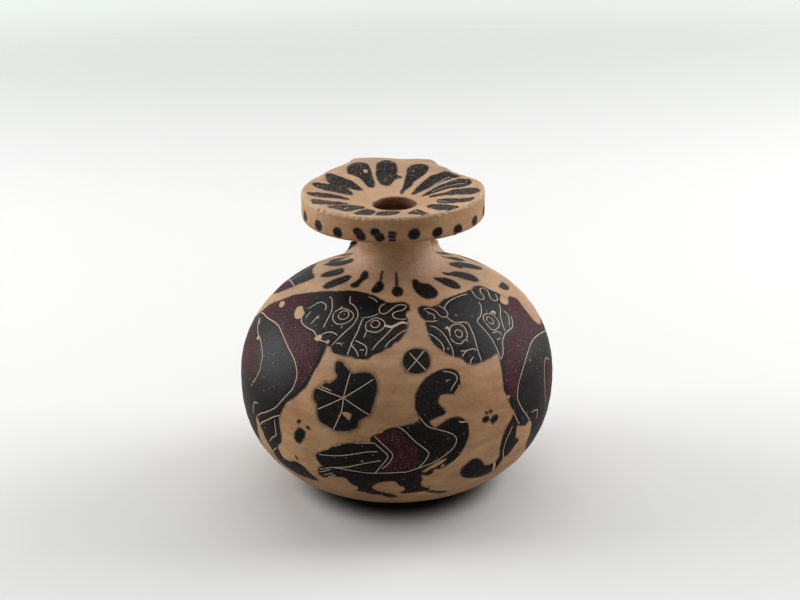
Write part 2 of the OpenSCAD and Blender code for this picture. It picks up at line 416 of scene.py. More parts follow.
def footSurface(u, v, lift):
    # u runs round the foot from the middle of the back, v up the hollow curve
    turn = np.interp(np.abs(u), footRun, footTurns)
    turn = np.where(u < 0, math.pi - turn, turn)
    share = np.clip(v / handle["lutingRun"], 0, 1)
    spread, rise = footCurve(share)
    x, y, out = footPlace(turn, spread)
    steep = np.arctan2(np.sin(share * math.pi / 2) * handle["lutingWidth"],
                       np.cos(share * math.pi / 2) * handle["lutingRise"])
    z = shoulderHeight(np.hypot(x, y)) + rise
    return np.stack([x + out[:, 0] * np.sin(steep) * lift, y + out[:, 1] * np.sin(steep) * lift,
                     z + np.cos(steep) * lift], 1)


def flatStretch(v):
    return np.ones_like(v)


# Meshes

def makeObject(name, points, faces, material, smooth=True):
    mesh = bpy.data.meshes.new(name)
    mesh.from_pydata([tuple(p) for p in np.asarray(points) * mm], [], faces)
    mesh.materials.append(material)
    piece = bpy.data.objects.new(name, mesh)
    bpy.context.scene.collection.objects.link(piece)
    mesh.update()
    if smooth:
        mesh.polygons.foreach_set("use_smooth", [True] * len(mesh.polygons))
    return piece


def joinedRings(rings, turned=False):
    # Faces between each ring of points and the next, turned over if asked; a ring can be a single point
    faces = []
    for first, second in zip(rings[:-1], rings[1:]):
        around = max(len(first), len(second))
        for i in range(around):
            j = (i + 1) % around
            corners = [first[i % len(first)], first[j % len(first)],
                       second[j % len(second)], second[i % len(second)]]
            if turned:
                corners[1], corners[3] = corners[3], corners[1]
            # fromkeys keeps a single point once
            faces.append(tuple(dict.fromkeys(corners)))
    return faces


def lathe(name, curve, around, material, move):
    # Turns a curve of (radius, height) round the axis; one that doesn't start on the axis is closed
    points, rings = [], []
    for radius, height in curve:
        size = around if radius > 1e-6 else 1
        rings.append(list(range(len(points), len(points) + size)))
        for i in range(size):
            turn = 2 * math.pi * i / around
            points.append((radius * math.sin(turn), -radius * math.cos(turn), height))
    if len(rings[0]) > 1:
        rings.append(rings[0])
    return makeObject(name, move(np.array(points, float)), joinedRings(rings), material)


def finishPiece(piece, slotName, *nodes):
    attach(piece, "root")
    if nodes:
        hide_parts(*nodes)


def pushedOut(points):
    # Moves points away from the axis by what the surface there wanders
    radius = np.hypot(points[:, 0], points[:, 1])
    scale = 1 + wander(points) / np.maximum(radius, 6)
    return points * np.stack([scale, scale, np.ones_like(scale)], 1)


# Materials. In a Mix node input 0 is the share, 6 and 7 are its two colours, and output 2 is the mixed one.

def linearColour(code):
    parts = [int(code[i:i + 2], 16) / 255 for i in (1, 3, 5)]
    return tuple(c / 12.92 if c <= 0.04045 else ((c + 0.055) / 1.055) ** 2.4 for c in parts) + (1.0,)


def addNode(tree, kind, settings=None, inputs=None):
    node = tree.nodes.new("ShaderNode" + kind)
    for key, value in (settings or {}).items():
        setattr(node, key, value)
    for key, value in (inputs or {}).items():
        if isinstance(value, bpy.types.NodeSocket):
            tree.links.new(value, node.inputs[key])
        else:
            node.inputs[key].default_value = value
    return node


def perMillimetre(size):
    # Scale of a texture whose features are this many millimetres apart
    return 1 / (size * mm)


def newMaterial(name):
    material = bpy.data.materials.new(name)
    material.use_nodes = True
    tree = material.node_tree
    tree.nodes.clear()
    return material, tree


# Buff clay, turned on the wheel and burnished: matt to satin, mottled by the fire, with fine dark grit
def firedClay(name, warm, pale, dark, rough, grit=0.5, stain=None, reach=0.0):
    material, tree = newMaterial(name)
    place = addNode(tree, "TexCoord").outputs["Object"]
    cloud = addNode(tree, "TexNoise", None, {
        "Vector": place, "Scale": perMillimetre(22), "Detail": 5.0, "Roughness": 0.6})
    patch = addNode(tree, "MapRange", None, {
        "Value": cloud.outputs["Fac"], "From Min": 0.38, "From Max": 0.64})
    body = addNode(tree, "Mix", {"data_type": "RGBA"}, {
        0: patch.outputs["Result"], 6: linearColour(warm), 7: linearColour(pale)})
    squeezed = addNode(tree, "Mapping", None, {"Vector": place, "Scale": (1.0, 1.0, 2.8)})
    wiped = addNode(tree, "TexNoise", None, {
        "Vector": squeezed.outputs["Vector"], "Scale": perMillimetre(7), "Detail": 4.0, "Roughness": 0.65})
    streak = addNode(tree, "MapRange", None, {
        "Value": wiped.outputs["Fac"], "From Min": 0.38, "From Max": 0.68, "To Max": 0.6})
    streaked = addNode(tree, "Mix", {"data_type": "RGBA"}, {
        0: streak.outputs["Result"], 6: body.outputs[2], 7: linearColour(dark)})
    gritNoise = addNode(tree, "TexNoise", None, {
        "Vector": place, "Scale": perMillimetre(0.9), "Detail": 3.0, "Roughness": 0.7})
    gritSpots = addNode(tree, "MapRange", None, {
        "Value": gritNoise.outputs["Fac"], "From Min": 0.59, "From Max": 0.72, "To Max": grit})
    gritty = addNode(tree, "Mix", {"data_type": "RGBA"}, {
        0: gritSpots.outputs["Result"], 6: streaked.outputs[2], 7: linearColour("#5d4330")})
    paleSpots = addNode(tree, "MapRange", None, {
        "Value": gritNoise.outputs["Fac"], "From Min": 0.40, "From Max": 0.29, "To Max": grit * 0.7})
    speckled = addNode(tree, "Mix", {"data_type": "RGBA"}, {
        0: paleSpots.outputs["Result"], 6: gritty.outputs[2], 7: linearColour("#cdad89")})
    colour = speckled.outputs[2]
    if stain:
        # A ragged brown wash that the brush left beside the outline; the distance outside it is negative
        edge = addNode(tree, "Attribute", {"attribute_name": "edgeDistance"})
        ragged = addNode(tree, "TexNoise", None, {
            "Vector": place, "Scale": perMillimetre(0.8), "Detail": 3.0, "Roughness": 0.7})
        patchy = addNode(tree, "TexNoise", None, {
            "Vector": place, "Scale": perMillimetre(4.5), "Detail": 2.0, "Roughness": 0.5})
        outward = addNode(tree, "Math", {"operation": "MULTIPLY_ADD"}, {
            0: ragged.outputs["Fac"], 1: 1.1, 2: edge.outputs["Fac"]})
        spread = addNode(tree, "Math", {"operation": "MULTIPLY_ADD"}, {
            0: patchy.outputs["Fac"], 1: 1.0, 2: outward.outputs[0]})
        amount = addNode(tree, "MapRange", None, {
            "Value": spread.outputs[0], "From Min": 0.66 - reach, "From Max": 1.12, "To Max": 0.92})
        stained = addNode(tree, "Mix", {"data_type": "RGBA"}, {
            0: amount.outputs["Result"], 6: colour, 7: linearColour(stain)})
        colour = stained.outputs[2]
    # Painted sheen: what faces upwards is mixed towards a pale grey, standing in for the glancing reflection
    # of the lamp above
    facing = addNode(tree, "SeparateXYZ", None, {"Vector": addNode(tree, "NewGeometry").outputs["Normal"]})
    topSheenShare = addNode(tree, "MapRange", None, {
        "Value": facing.outputs["Z"], "From Min": 0.35, "From Max": 0.95, "To Max": 0.13})
    topSheened = addNode(tree, "Mix", {"data_type": "RGBA"}, {
        0: topSheenShare.outputs["Result"], 6: colour, 7: linearColour("#a8a092")})
    roughness = addNode(tree, "MapRange", None, {
        "Value": cloud.outputs["Fac"], "From Min": 0.3, "From Max": 0.7,
        "To Min": rough - 0.06, "To Max": rough + 0.08})
    fineBump = addNode(tree, "Bump", None, {
        "Height": gritNoise.outputs["Fac"], "Strength": 0.35, "Distance": 0.10 * mm})
    slowBump = addNode(tree, "Bump", None, {
        "Height": wiped.outputs["Fac"], "Strength": 0.4, "Distance": 0.25 * mm,
        "Normal": fineBump.outputs["Normal"]})
    shader = addNode(tree, "BsdfPrincipled", None, {
        "Base Color": topSheened.outputs[2], "Roughness": roughness.outputs["Result"],
        "Normal": slowBump.outputs["Normal"], "IOR": 1.5, "Specular IOR Level": 0.46})
    addNode(tree, "OutputMaterial", None, {"Surface": shader.outputs[0]})
    return material


# Fired iron slip: near black with a low gloss, brown where the brush left it thin, worn to a fine grain
def firedSlip(name, deep, thin, rough, grainFrom, grainColour, prickColour, wear, gloss, prickEvery=1.1,
              prickFrom=0.68):
    material, tree = newMaterial(name)
    place = addNode(tree, "TexCoord").outputs["Object"]
    edge = addNode(tree, "Attribute", {"attribute_name": "edgeDistance"})
    brush = addNode(tree, "TexNoise", None, {
        "Vector": place, "Scale": perMillimetre(3.2), "Detail": 6.0, "Roughness": 0.7})
    wash = addNode(tree, "TexNoise", None, {
        "Vector": place, "Scale": perMillimetre(10), "Detail": 3.0, "Roughness": 0.55})
    fine = addNode(tree, "TexNoise", None, {
        "Vector": place, "Scale": perMillimetre(0.5), "Detail": 3.0, "Roughness": 0.65})
    mottled = addNode(tree, "MapRange", None, {
        "Value": brush.outputs["Fac"], "From Min": 0.42, "From Max": 0.7, "To Max": 0.7})
    body = addNode(tree, "Mix", {"data_type": "RGBA"}, {
        0: mottled.outputs["Result"], 6: linearColour(deep), 7: linearColour(thin)})
    # Fine pale grain, denser where the surface is rubbed
    rubbed = addNode(tree, "Math", {"operation": "MULTIPLY_ADD"}, {
        0: wash.outputs["Fac"], 1: 0.45, 2: fine.outputs["Fac"]})
    grainy = addNode(tree, "MapRange", None, {
        "Value": rubbed.outputs[0], "From Min": grainFrom, "From Max": grainFrom + 0.16, "To Max": wear})
    grained = addNode(tree, "Mix", {"data_type": "RGBA"}, {
        0: grainy.outputs["Result"], 6: body.outputs[2], 7: linearColour(grainColour)})
    # The last half millimetre before an outline is thin and fires brown, unevenly
    uneven = addNode(tree, "Math", {"operation": "MULTIPLY_ADD"}, {
        0: fine.outputs["Fac"], 1: -0.9, 2: edge.outputs["Fac"]})
    thinned = addNode(tree, "MapRange", None, {
        "Value": uneven.outputs[0], "From Min": -0.48, "From Max": -0.12, "To Min": 0.9, "To Max": 0.0})
    edged = addNode(tree, "Mix", {"data_type": "RGBA"}, {
        0: thinned.outputs["Result"], 6: grained.outputs[2], 7: linearColour("#33231a")})
    # Pin-prick losses that show the clay, in the cells whose chance value is over prickFrom
    cells = addNode(tree, "TexVoronoi", None, {"Vector": place, "Scale": perMillimetre(prickEvery)})
    prick = addNode(tree, "MapRange", None, {
        "Value": cells.outputs["Distance"], "From Min": 0.17, "From Max": 0.10, "To Max": 0.85})
    some = addNode(tree, "SeparateColor", None, {"Color": cells.outputs["Color"]})
    chosen = addNode(tree, "Math", {"operation": "GREATER_THAN"}, {0: some.outputs[0], 1: prickFrom})
    pricks = addNode(tree, "Math", {"operation": "MULTIPLY"}, {
        0: prick.outputs["Result"], 1: chosen.outputs[0]})
    colour = addNode(tree, "Mix", {"data_type": "RGBA"}, {
        0: pricks.outputs[0], 6: edged.outputs[2], 7: linearColour(prickColour)})
    roughness = addNode(tree, "MapRange", None, {
        "Value": brush.outputs["Fac"], "From Min": 0.3, "From Max": 0.7,
        "To Min": rough - 0.05, "To Max": rough + 0.09})
    bump = addNode(tree, "Bump", None, {
        "Height": brush.outputs["Fac"], "Strength": 0.4, "Distance": 0.12 * mm})
    fineBump = addNode(tree, "Bump", None, {
        "Height": fine.outputs["Fac"], "Strength": 0.4, "Distance": 0.06 * mm,
        "Normal": bump.outputs["Normal"]})
    shader = addNode(tree, "BsdfPrincipled", None, {
        "Base Color": colour.outputs[2], "Roughness": roughness.outputs["Result"],
        "Normal": fineBump.outputs["Normal"], "IOR": 1.5, "Specular IOR Level": gloss})
    addNode(tree, "OutputMaterial", None, {"Surface": shader.outputs[0]})
    return material


clayColours = ("#ad7e54", "#c2996e", "#8b613e")
burnishedClay = firedClay("burnishedClay", *clayColours, rough=0.50)
# The strap was handled most: its clay is greyer and a little duller in colour
handledClay = firedClay("handledClay", "#a07753", "#ae8a67", "#886547", rough=0.50)
# Wiped on wet over the joints and never burnished: paler, rougher and with more grit
lutingClay = firedClay("lutingClay", "#b58a67", "#c29b78", "#9c7656", rough=0.58, grit=0.75)
# The rim's worn edge, where the burnish has gone and the grit stands out
chippedClay = firedClay("chippedClay", "#bb9673", "#cfae8b", "#8d694a", rough=0.7, grit=1.0)
# Dark brown clay, in the bore, the throat and the crack on the neck
darkBrownClay = firedClay("darkBrownClay", "#7a5340", "#8a614b", "#634434", rough=0.5)
# Clay laid bare by the incising point: pale and dry
incisedClay = firedClay("incisedClay", "#c6b09a", "#d6c2ab", "#b0977e", rough=0.75, grit=0.2)
# Thinned slip that ran out beside an outline and fired brown; round the rosettes it runs further
thinWash = firedClay("thinWash", *clayColours, rough=0.50, stain="#35221a")
wideWash = firedClay("wideWash", *clayColours, rough=0.50, stain="#4a3122", reach=0.45)
blackSlip = firedSlip("blackSlip", "#060506", "#100d0e", rough=0.44, grainFrom=0.76, grainColour="#453d39",
                      prickColour="#937b68", wear=0.42, gloss=0.13)
# On top of the mouth, rubbed by fingers: more pale grain and almost no gloss
wornSlip = firedSlip("wornSlip", "#070607", "#171110", rough=0.5, grainFrom=0.72, grainColour="#7c6a5b",
                     prickColour="#b2967c", wear=0.52, gloss=0.09)
# Purple ochre laid over the black: matt wine red, with more and closer pin-pricks
purpleSlip = firedSlip("purpleSlip", "#2b0b12", "#43151f", rough=0.55, grainFrom=0.73,
                       grainColour="#6b3f47", prickColour="#9b867d", wear=0.45, gloss=0.12,
                       prickEvery=0.75, prickFrom=0.42)
print("materials made")


# Painting: each painted form is one thin sheet of slip on the clay, cut by its incised lines

def splinePoints(controls, closed, spacing):
    # A curve through given points; a point given twice makes a corner
    controls = np.array(controls, float)
    count = len(controls)
    if closed:
        indexes = [[(i - 1) % count, i, (i + 1) % count, (i + 2) % count] for i in range(count)]
    else:
        indexes = [[max(i - 1, 0), i, i + 1, min(i + 2, count - 1)] for i in range(count - 1)]
    result = []
    for a, b, c, d in indexes:
        before, start, end, after = controls[a], controls[b], controls[c], controls[d]
        length = np.linalg.norm(end - start)
        if length < 1e-6:
            continue
        steps = max(1, int(round(length / spacing)))
        t = (np.arange(steps) / steps)[:, None]
        result.append(0.5 * (2 * start + (end - before) * t
                             + (2 * before - 5 * start + 4 * end - after) * t ** 2
                             + (3 * start - before - 3 * end + after) * t ** 3))
    result = np.concatenate(result)
    if not closed:
        result = np.concatenate([result, controls[-1:]])
    return result


def insideLoop(points, loop):
    x, y = points[:, 0:1], points[:, 1:2]
    x0, y0 = loop[:, 0], loop[:, 1]
    x1, y1 = np.roll(x0, -1), np.roll(y0, -1)
    crosses = (y0 > y) != (y1 > y)
    with np.errstate(divide="ignore", invalid="ignore"):
        at = (x1 - x0) * (y - y0) / (y1 - y0) + x0
    return (crosses & (x < at)).sum(1) % 2 == 1


def insideAny(points, loops):
    inside = np.zeros(len(points), bool)
    for loop in loops:
        inside |= insideLoop(points, loop)
    return inside


def distanceTo(points, starts, ends, stretch):
    # Real distance from points to the nearest of many short lines, where u is stretched round the globe
    best = np.full(len(points), 1e9)
    batch = 1500    # points worked on at a time, which keeps the memory small
    for first in range(0, len(points), batch):
        part = points[first:first + batch]
        scale = stretch(part[:, 1])[:, None]
        runU = (ends[:, 0] - starts[:, 0])[None] * scale
        runV = (ends[:, 1] - starts[:, 1])[None]
        fromU = (part[:, 0:1] - starts[:, 0][None]) * scale
        fromV = part[:, 1:2] - starts[:, 1][None]
        along = np.clip((fromU * runU + fromV * runV) / np.maximum(runU ** 2 + runV ** 2, 1e-12), 0, 1)
        gap = np.hypot(fromU - along * runU, fromV - along * runV)
        best[first:first + batch] = gap.min(1)
    return best


def sidesOf(line, width, stretch):
    # The two edges of an incised line, which meet in a point at both its ends
    scale = stretch(line[:, 1])
    run = np.gradient(line, axis=0)
    run[:, 0] *= scale
    run /= np.maximum(np.hypot(run[:, 0], run[:, 1]), 1e-9)[:, None]
    offset = np.stack([-run[:, 1] / scale, run[:, 0]], 1) * (width / 2)
    offset[0] = offset[-1] = 0
    return line + offset, line - offset


def offsetLoop(loop, distance, stretch):
    # The loop moved outwards; the turning sense comes from its area
    scale = stretch(loop[:, 1])
    run = np.roll(loop, -1, axis=0) - np.roll(loop, 1, axis=0)
    run[:, 0] *= scale
    run /= np.maximum(np.hypot(run[:, 0], run[:, 1]), 1e-9)[:, None]
    following = np.roll(loop, -1, axis=0)
    area = np.sum(loop[:, 0] * following[:, 1] - following[:, 0] * loop[:, 1])
    sign = 1 if area > 0 else -1
    return loop + sign * distance * np.stack([run[:, 1] / scale, -run[:, 0]], 1)


def shaken(outline):
    # The outline as an unsteady brush draws it
    tremble = np.array([[dice.gauss(0, 1), dice.gauss(0, 1)] for _ in outline])
    for _ in range(3):
        tremble = (np.roll(tremble, 1, axis=0) + 2 * tremble + np.roll(tremble, -1, axis=0)) / 4
    return outline + tremble * slip["shake"]


def fillPoints(outlines, cell, stretch):
    # A grid that isn't quite even over the whole form, and a row of points on each side of its outlines
    low = np.min([outline.min(0) for outline in outlines], 0)
    high = np.max([outline.max(0) for outline in outlines], 0)
    points = []
    v = low[1]
    while v < high[1]:
        step = cell / float(stretch(np.array([v]))[0])
        u = low[0] + dice.random() * step
        while u < high[0]:
            points.append((u + dice.uniform(-0.2, 0.2) * step, v + dice.uniform(-0.2, 0.2) * cell))
            u += step
        v += cell
    for outline in outlines:
        for side in sidesOf(outline, slip["rows"], stretch):
            points.extend(tuple(p) for p in side[1:-1:2])
    return np.array(points)


def openEdges(triangles):
    # The edges that only one triangle has
    seen = dict.fromkeys(pair for a, b, c in triangles for pair in ((a, b), (b, c), (c, a)))
    return [(a, b) for a, b in seen if (b, a) not in seen]


def layPaint(name, loops, surface, stretch, lines=(), purple=(), chips=(), paint=None, halo=None,
             width=None, cell=None, wash=None):
    # loops, purple and chips are closed outlines; a line is a list of points, or that list and its width
    width = width or slip["lineWidth"]
    halo = slip["halo"] if halo is None else halo
    cell = cell or slip["cell"]
    outlines = [shaken(splinePoints(loop, True, slip["trace"])) for loop in loops]
    chipLoops = [splinePoints(loop, True, slip["chipTrace"]) for loop in chips]
    purpleLoops = [splinePoints(loop, True, slip["purpleTrace"]) for loop in purple]
    haloLoops = [offsetLoop(outline, halo, stretch) for outline in outlines] if halo else []
    incised = [line if isinstance(line, tuple) else (line, width) for line in lines]
    curves = [splinePoints(line, False, slip["lineTrace"]) for line, lineWidth in incised]
    widths = [lineWidth for line, lineWidth in incised]
    chains = [(loop, True) for loop in outlines + chipLoops + purpleLoops + haloLoops]
    for curve, lineWidth in zip(curves, widths):
        chains += [(side, False) for side in (*sidesOf(curve, lineWidth, stretch), curve)]
    points, edges = [], []
    for chain, closed in chains:
        first, last = len(points), len(points) + len(chain) - 1
        points.extend(tuple(p) for p in chain)
        edges.extend((i, i + 1) for i in range(first, last))
        if closed:
            edges.append((last, first))
    borderStart = np.concatenate(outlines + chipLoops)
    borderEnd = np.concatenate([np.roll(loop, -1, axis=0) for loop in outlines + chipLoops])
    if curves:
        lineStart = np.concatenate([curve[:-1] for curve in curves])
        lineEnd = np.concatenate([curve[1:] for curve in curves])
        lineWidths = np.repeat(widths, [len(curve) - 1 for curve in curves])

    def covered(at):
        return insideAny(at, outlines) & ~insideAny(at, chipLoops)

    grid = fillPoints(outlines, cell, stretch)
    grid = grid[covered(grid)]
    grid = grid[distanceTo(grid, borderStart, borderEnd, stretch) > slip["outlineClear"]]
    if curves:
        grid = grid[distanceTo(grid, lineStart, lineEnd, stretch) > slip["lineClear"]]
    points.extend(tuple(p) for p in grid)
    made = delaunay_2d_cdt([Vector(p) for p in points], edges, [], 0, 1e-5, False)
    flat = np.array([tuple(p) for p in made[0]])
    faces = np.array([f for f in made[2] if len(f) == 3])
    middles = flat[faces].mean(1)
    onSlip = covered(middles)
    keep = onSlip
    if halo:
        near = distanceTo(middles, borderStart, borderEnd, stretch) < halo * 0.97
        keep = onSlip | (near & ~insideAny(middles, chipLoops))
    faces, middles, onSlip = faces[keep], middles[keep], onSlip[keep]

    # Slots of the mesh: 0 the paint, 1 purple, 2 bare clay in a line, 3 the wash outside the outline
    kinds = np.where(onSlip, 0, 3)
    kinds[insideAny(middles, purpleLoops) & onSlip] = 1
    for lineWidth in sorted(set(widths)):
        picked = lineWidths == lineWidth
        near = distanceTo(middles, lineStart[picked], lineEnd[picked], stretch) < lineWidth * 0.5
        kinds[near & onSlip] = 2

    used = np.unique(faces)
    renumber = np.full(len(flat), -1)
    renumber[used] = np.arange(len(used))
    flat = flat[used]
    faces = renumber[faces]
    edgeGap = distanceTo(flat, borderStart, borderEnd, stretch)
    outer = ~covered(flat) & (edgeGap > slip["onLine"])
    edgeGap = np.where(outer, -edgeGap, edgeGap)
    lift = np.where(np.abs(edgeGap) < slip["onLine"], slip["edgeLift"], slip["lift"])
    lift = np.where(outer, slip["haloLift"], lift)
    if curves:
        lineGap = distanceTo(flat, lineStart, lineEnd, stretch)
        lift = np.where((lineGap < slip["onLine"]) & ~outer, slip["grooveLift"], lift)
    top = surface(flat[:, 0], flat[:, 1], lift)

    # The open borders are turned down into the clay, by a strip with points of its own, so that it doesn't
    # bend the shading of the top
    allFaces = [tuple(face) for face in faces.tolist()]
    border = openEdges(allFaces)
    rim = sorted({i for pair in border for i in pair})
    upper = {i: len(flat) + k for k, i in enumerate(rim)}
    below = {i: len(flat) + len(rim) + k for k, i in enumerate(rim)}
    sunk = surface(flat[rim, 0], flat[rim, 1], np.full(len(rim), slip["sink"]))
    allFaces += [(upper[b], upper[a], below[a], below[b]) for a, b in border]
    allKinds = list(kinds) + [3 if halo else 0] * len(border)
    piece = makeObject(name, np.concatenate([top, top[rim], sunk]), allFaces, paint or blackSlip)
    mesh = piece.data
    for material in (purpleSlip, incisedClay, wash or thinWash):
        mesh.materials.append(material)
    mesh.polygons.foreach_set("material_index", allKinds)
    gap = mesh.attributes.new("edgeDistance", "FLOAT", "POINT")
    gap.data.foreach_set("value", np.concatenate([edgeGap, edgeGap[rim], edgeGap[rim]]).astype(np.float32))
    finishPiece(piece, "black_slip")


def turned(points, angle, centre):
    cosine, sine = math.cos(angle), math.sin(angle)
    return [(centre[0] + x * cosine - y * sine, centre[1] + x * sine + y * cosine) for x, y in points]


def oval(centre, halfWidth, halfHeight, lean=0.0, count=10):
    # lean is in degrees, anticlockwise
    ring = [(halfWidth * math.cos(2 * math.pi * i / count), halfHeight * math.sin(2 * math.pi * i / count))
            for i in range(count)]
    return turned(ring, math.radians(lean), centre)


# The clay pieces

def makeBody():
    seat = seatCurve[1:]
    footEdge = globe["footRadius"]
    # The underside is a little hollow and stands on a ring just inside the foot's edge
    under = [(0, 0.35), (footEdge * 0.55, 0.3), (footEdge * 0.86, 0.06), (footEdge - globe["footRound"], 0.0),
             (footEdge - 0.15, 0.10)]
    hollowRadius = globe["radius"] - globe["wall"]
    hollowLower = globe["bellyHeight"] - globe["floor"]
    hollowUpper = (globe["seatHeight"] - globe["wall"] - globe["bellyHeight"]) / superellipse(
        neck["bore"] / hollowRadius, globe["upperFullness"])
    inside = np.concatenate([
        globeCurve(hollowRadius, hollowUpper, globe["upperFullness"], neck["bore"], hollowRadius, 1, 26),
        globeCurve(hollowRadius, hollowLower, globe["lowerFullness"], hollowRadius, 0.0, -1, 26)[1:]])
    inside[-1] = (0, globe["floor"])
    shell = np.concatenate([np.array(under), lowerCurve[1:], shoulderCurve, seat,
                            [[neck["bore"], globe["seatHeight"]]], inside])

    outsideRings = len(under) - 1 + len(lowerCurve) - 1 + len(shoulderCurve) + len(seat)
    outsideCount = 1 + globe["around"] * outsideRings

    def move(points):
        # The outside wanders, away from the globe's middle; the underside and the hollow stay true
        radius = np.hypot(points[:, 0], points[:, 1])
        above = points[:, 2] > globe["bellyHeight"]
        wanders = radius > np.where(above, neck["radius"], footEdge) - 0.12
        wanders &= np.arange(len(points)) < outsideCount
        away = points - np.array([0, 0, globe["bellyHeight"]])
        distance = np.maximum(np.linalg.norm(away, axis=1), 1)
        shift = np.where(wanders, wander(points), 0)
        return points + away / distance[:, None] * shift[:, None]

    piece = lathe("globe_shell", shell, globe["around"], burnishedClay, move)
    finishPiece(piece, "clay", "body")


def makeNeck():
    # Thinner where the luting clay hides it, so that only one of the two shows
    hiddenRadius, hiddenTop = neck["radius"] - 0.25, neck["flareTop"] - 0.6
    tube = np.concatenate([
        [[neck["bore"], globe["seatHeight"]]],
        [[hiddenRadius, z] for z in np.linspace(globe["seatHeight"], hiddenTop, 3)],
        [[neck["radius"], z] for z in np.linspace(neck["flareTop"], mouth["low"], 12)],
        [[neck["bore"], z] for z in np.linspace(mouth["low"], globe["seatHeight"], 5)[:-1]]])
    piece = lathe("neck_tube", tube, neck["around"], burnishedClay, pushedOut)
    piece.data.materials.append(darkBrownClay)
    # The faces of the bore get the dark brown clay
    for face in piece.data.polygons:
        middle = face.center / mm
        face.material_index = int(math.hypot(middle.x, middle.y) < neck["darkRadius"])
    finishPiece(piece, "clay", "neck")


def makeFlare():
    # Luting clay smoothed from the shoulder up the neck, run out to nothing at both its edges
    top = np.concatenate([[shoulderCurve[-6] - (0, 0.10)], [shoulderCurve[-1] + (0, 0.004)], flareCurve])
    # Its back is bedded in the neck and the globe, so that no gap opens under its edges
    back = np.concatenate([[[neck["radius"] - 0.03, neck["flareTop"] + 0.7],
                            [neck["radius"] - 0.10, neck["flareTop"] + 0.75],
                            [neck["radius"] - 0.20, neck["flareTop"] + 0.7],
                            [neck["radius"] - 0.20, globe["seatHeight"] + 0.2]],
                           (seatCurve - (0, 0.25))[::-1]])
    curve = np.concatenate([top, back])
    slope = np.gradient(curve, axis=0)
    slope /= np.maximum(np.hypot(slope[:, 0], slope[:, 1]), 1e-6)[:, None]

    def move(points):
        # Along the curve's own normal, as the paint on it is moved
        turn = np.arctan2(points[:, 0], -points[:, 1])
        across = np.repeat(slope[:, 1], neck["flareAround"])
        along = -np.repeat(slope[:, 0], neck["flareAround"])
        out = np.stack([np.sin(turn) * across, -np.cos(turn) * across, along], 1)
        return points + out * wander(points)[:, None]

    piece = lathe("neck_flare", curve, neck["flareAround"], lutingClay, move)
    finishPiece(piece, "luting_clay", "neck_luting")


def makeMouthRing():
    width = mouth["luting"]
    radius = neck["radius"]
    hiddenRadius, hiddenTop = radius - 0.2, mouth["low"] + 0.15
    curve = np.concatenate([
        arcPoints((radius + width, mouth["low"] - width), width, 180, 90, 10),
        [[radius + width, hiddenTop], [hiddenRadius, hiddenTop], [hiddenRadius, mouth["low"] - width]]])
    piece = lathe("mouth_ring", curve, neck["around"], lutingClay, pushedOut)
    finishPiece(piece, "luting_clay", "mouth_luting")


def makeMouth():
    radius = mouth["radius"]
    low, top = mouth["lowRound"], mouth["topRound"]
    lipHeight = mouth["high"] - mouth["dish"]
    dishRadii = np.linspace(dishEnd, dishStart, 30)
    curve = np.concatenate([
        [[r, mouth["low"]] for r in (neck["bore"], 9.0, 13.0)],
        arcPoints((radius - low, mouth["low"] + low), low, -90, 0, 7),
        [[radius, z] for z in np.linspace(mouth["low"] + low, mouth["high"] - top, 7)[1:-1]],
        arcPoints((dishEnd, mouth["high"] - top), top, 0, 90, 9),
        np.stack([dishRadii, mouthHeight(dishRadii)], 1)[1:],
        arcPoints((dishStart, lipHeight - mouth["throatRound"]), mouth["throatRound"], 90, 180, 7)[1:],
        [[mouth["throat"], mouth["throatLow"]], [neck["bore"], mouth["boreHigh"]]]])

    def move(points):
        x, y, z = points[:, 0], points[:, 1], points[:, 2]
        radii = np.hypot(x, y)
        moved = points.copy()
        moved[:, 0] += offCentreBy(radii) * (z > mouth["boreHigh"] + 0.2)
        moved[:, 2] += np.where((z > lipHeight - 0.3) & (radii > dishStart), mouthRipple(points), 0)
        share = np.where(radii > dishEnd, (z - mouth["low"] - low) / mouth["rimRun"],
                         (z - mouth["boreHigh"]) / mouth["throatRun"])
        moved[:, 2] += discTilt(x, y) * np.clip(share, 0, 1)
        # Nicks come where three unrelated waves round the rim add up
        turn = np.arctan2(x, y)
        worn = np.sin(23 * turn) * np.sin(37 * turn + 1) + 0.7 * np.sin(71 * turn + 2 * np.sin(9 * turn))
        worn = np.clip(worn - 0.3, 0, 1)
        fromEdge = np.abs(z - mouth["high"] + mouth["nickLevel"])
        atEdge = np.clip(1 - fromEdge / mouth["nickReach"], 0, 1) * (radii > radius - mouth["nickWidth"])
        nick = mouth["nicks"] * worn * atEdge
        onRim = np.clip((radii - (radius - mouth["rimReach"])) / mouth["rimReach"], 0, 1)
        push = rimRipple(points) * onRim - nick
        moved[:, 2] -= nick
        moved[:, 0] += x / np.maximum(radii, 1) * push
        moved[:, 1] += y / np.maximum(radii, 1) * push
        return moved

    piece = lathe("mouth_plate", curve, mouth["around"], burnishedClay, move)
    piece.data.materials.append(darkBrownClay)
    piece.data.materials.append(chippedClay)
    for face in piece.data.polygons:
        middle = face.center / mm
        far = math.hypot(middle.x, middle.y)
        level = middle.z - discTilt(middle.x, middle.y)
        # The faces of the throat get the dark brown clay, the worn band on top of the rim the chipped clay
        if far < neck["darkRadius"] and middle.z < mouth["darkHeight"]:
            face.material_index = 1
        elif far > radius - mouth["chippedIn"] and level > mouth["high"] - mouth["chippedDown"]:
            face.material_index = 2
    finishPiece(piece, "clay", "mouth_disc")


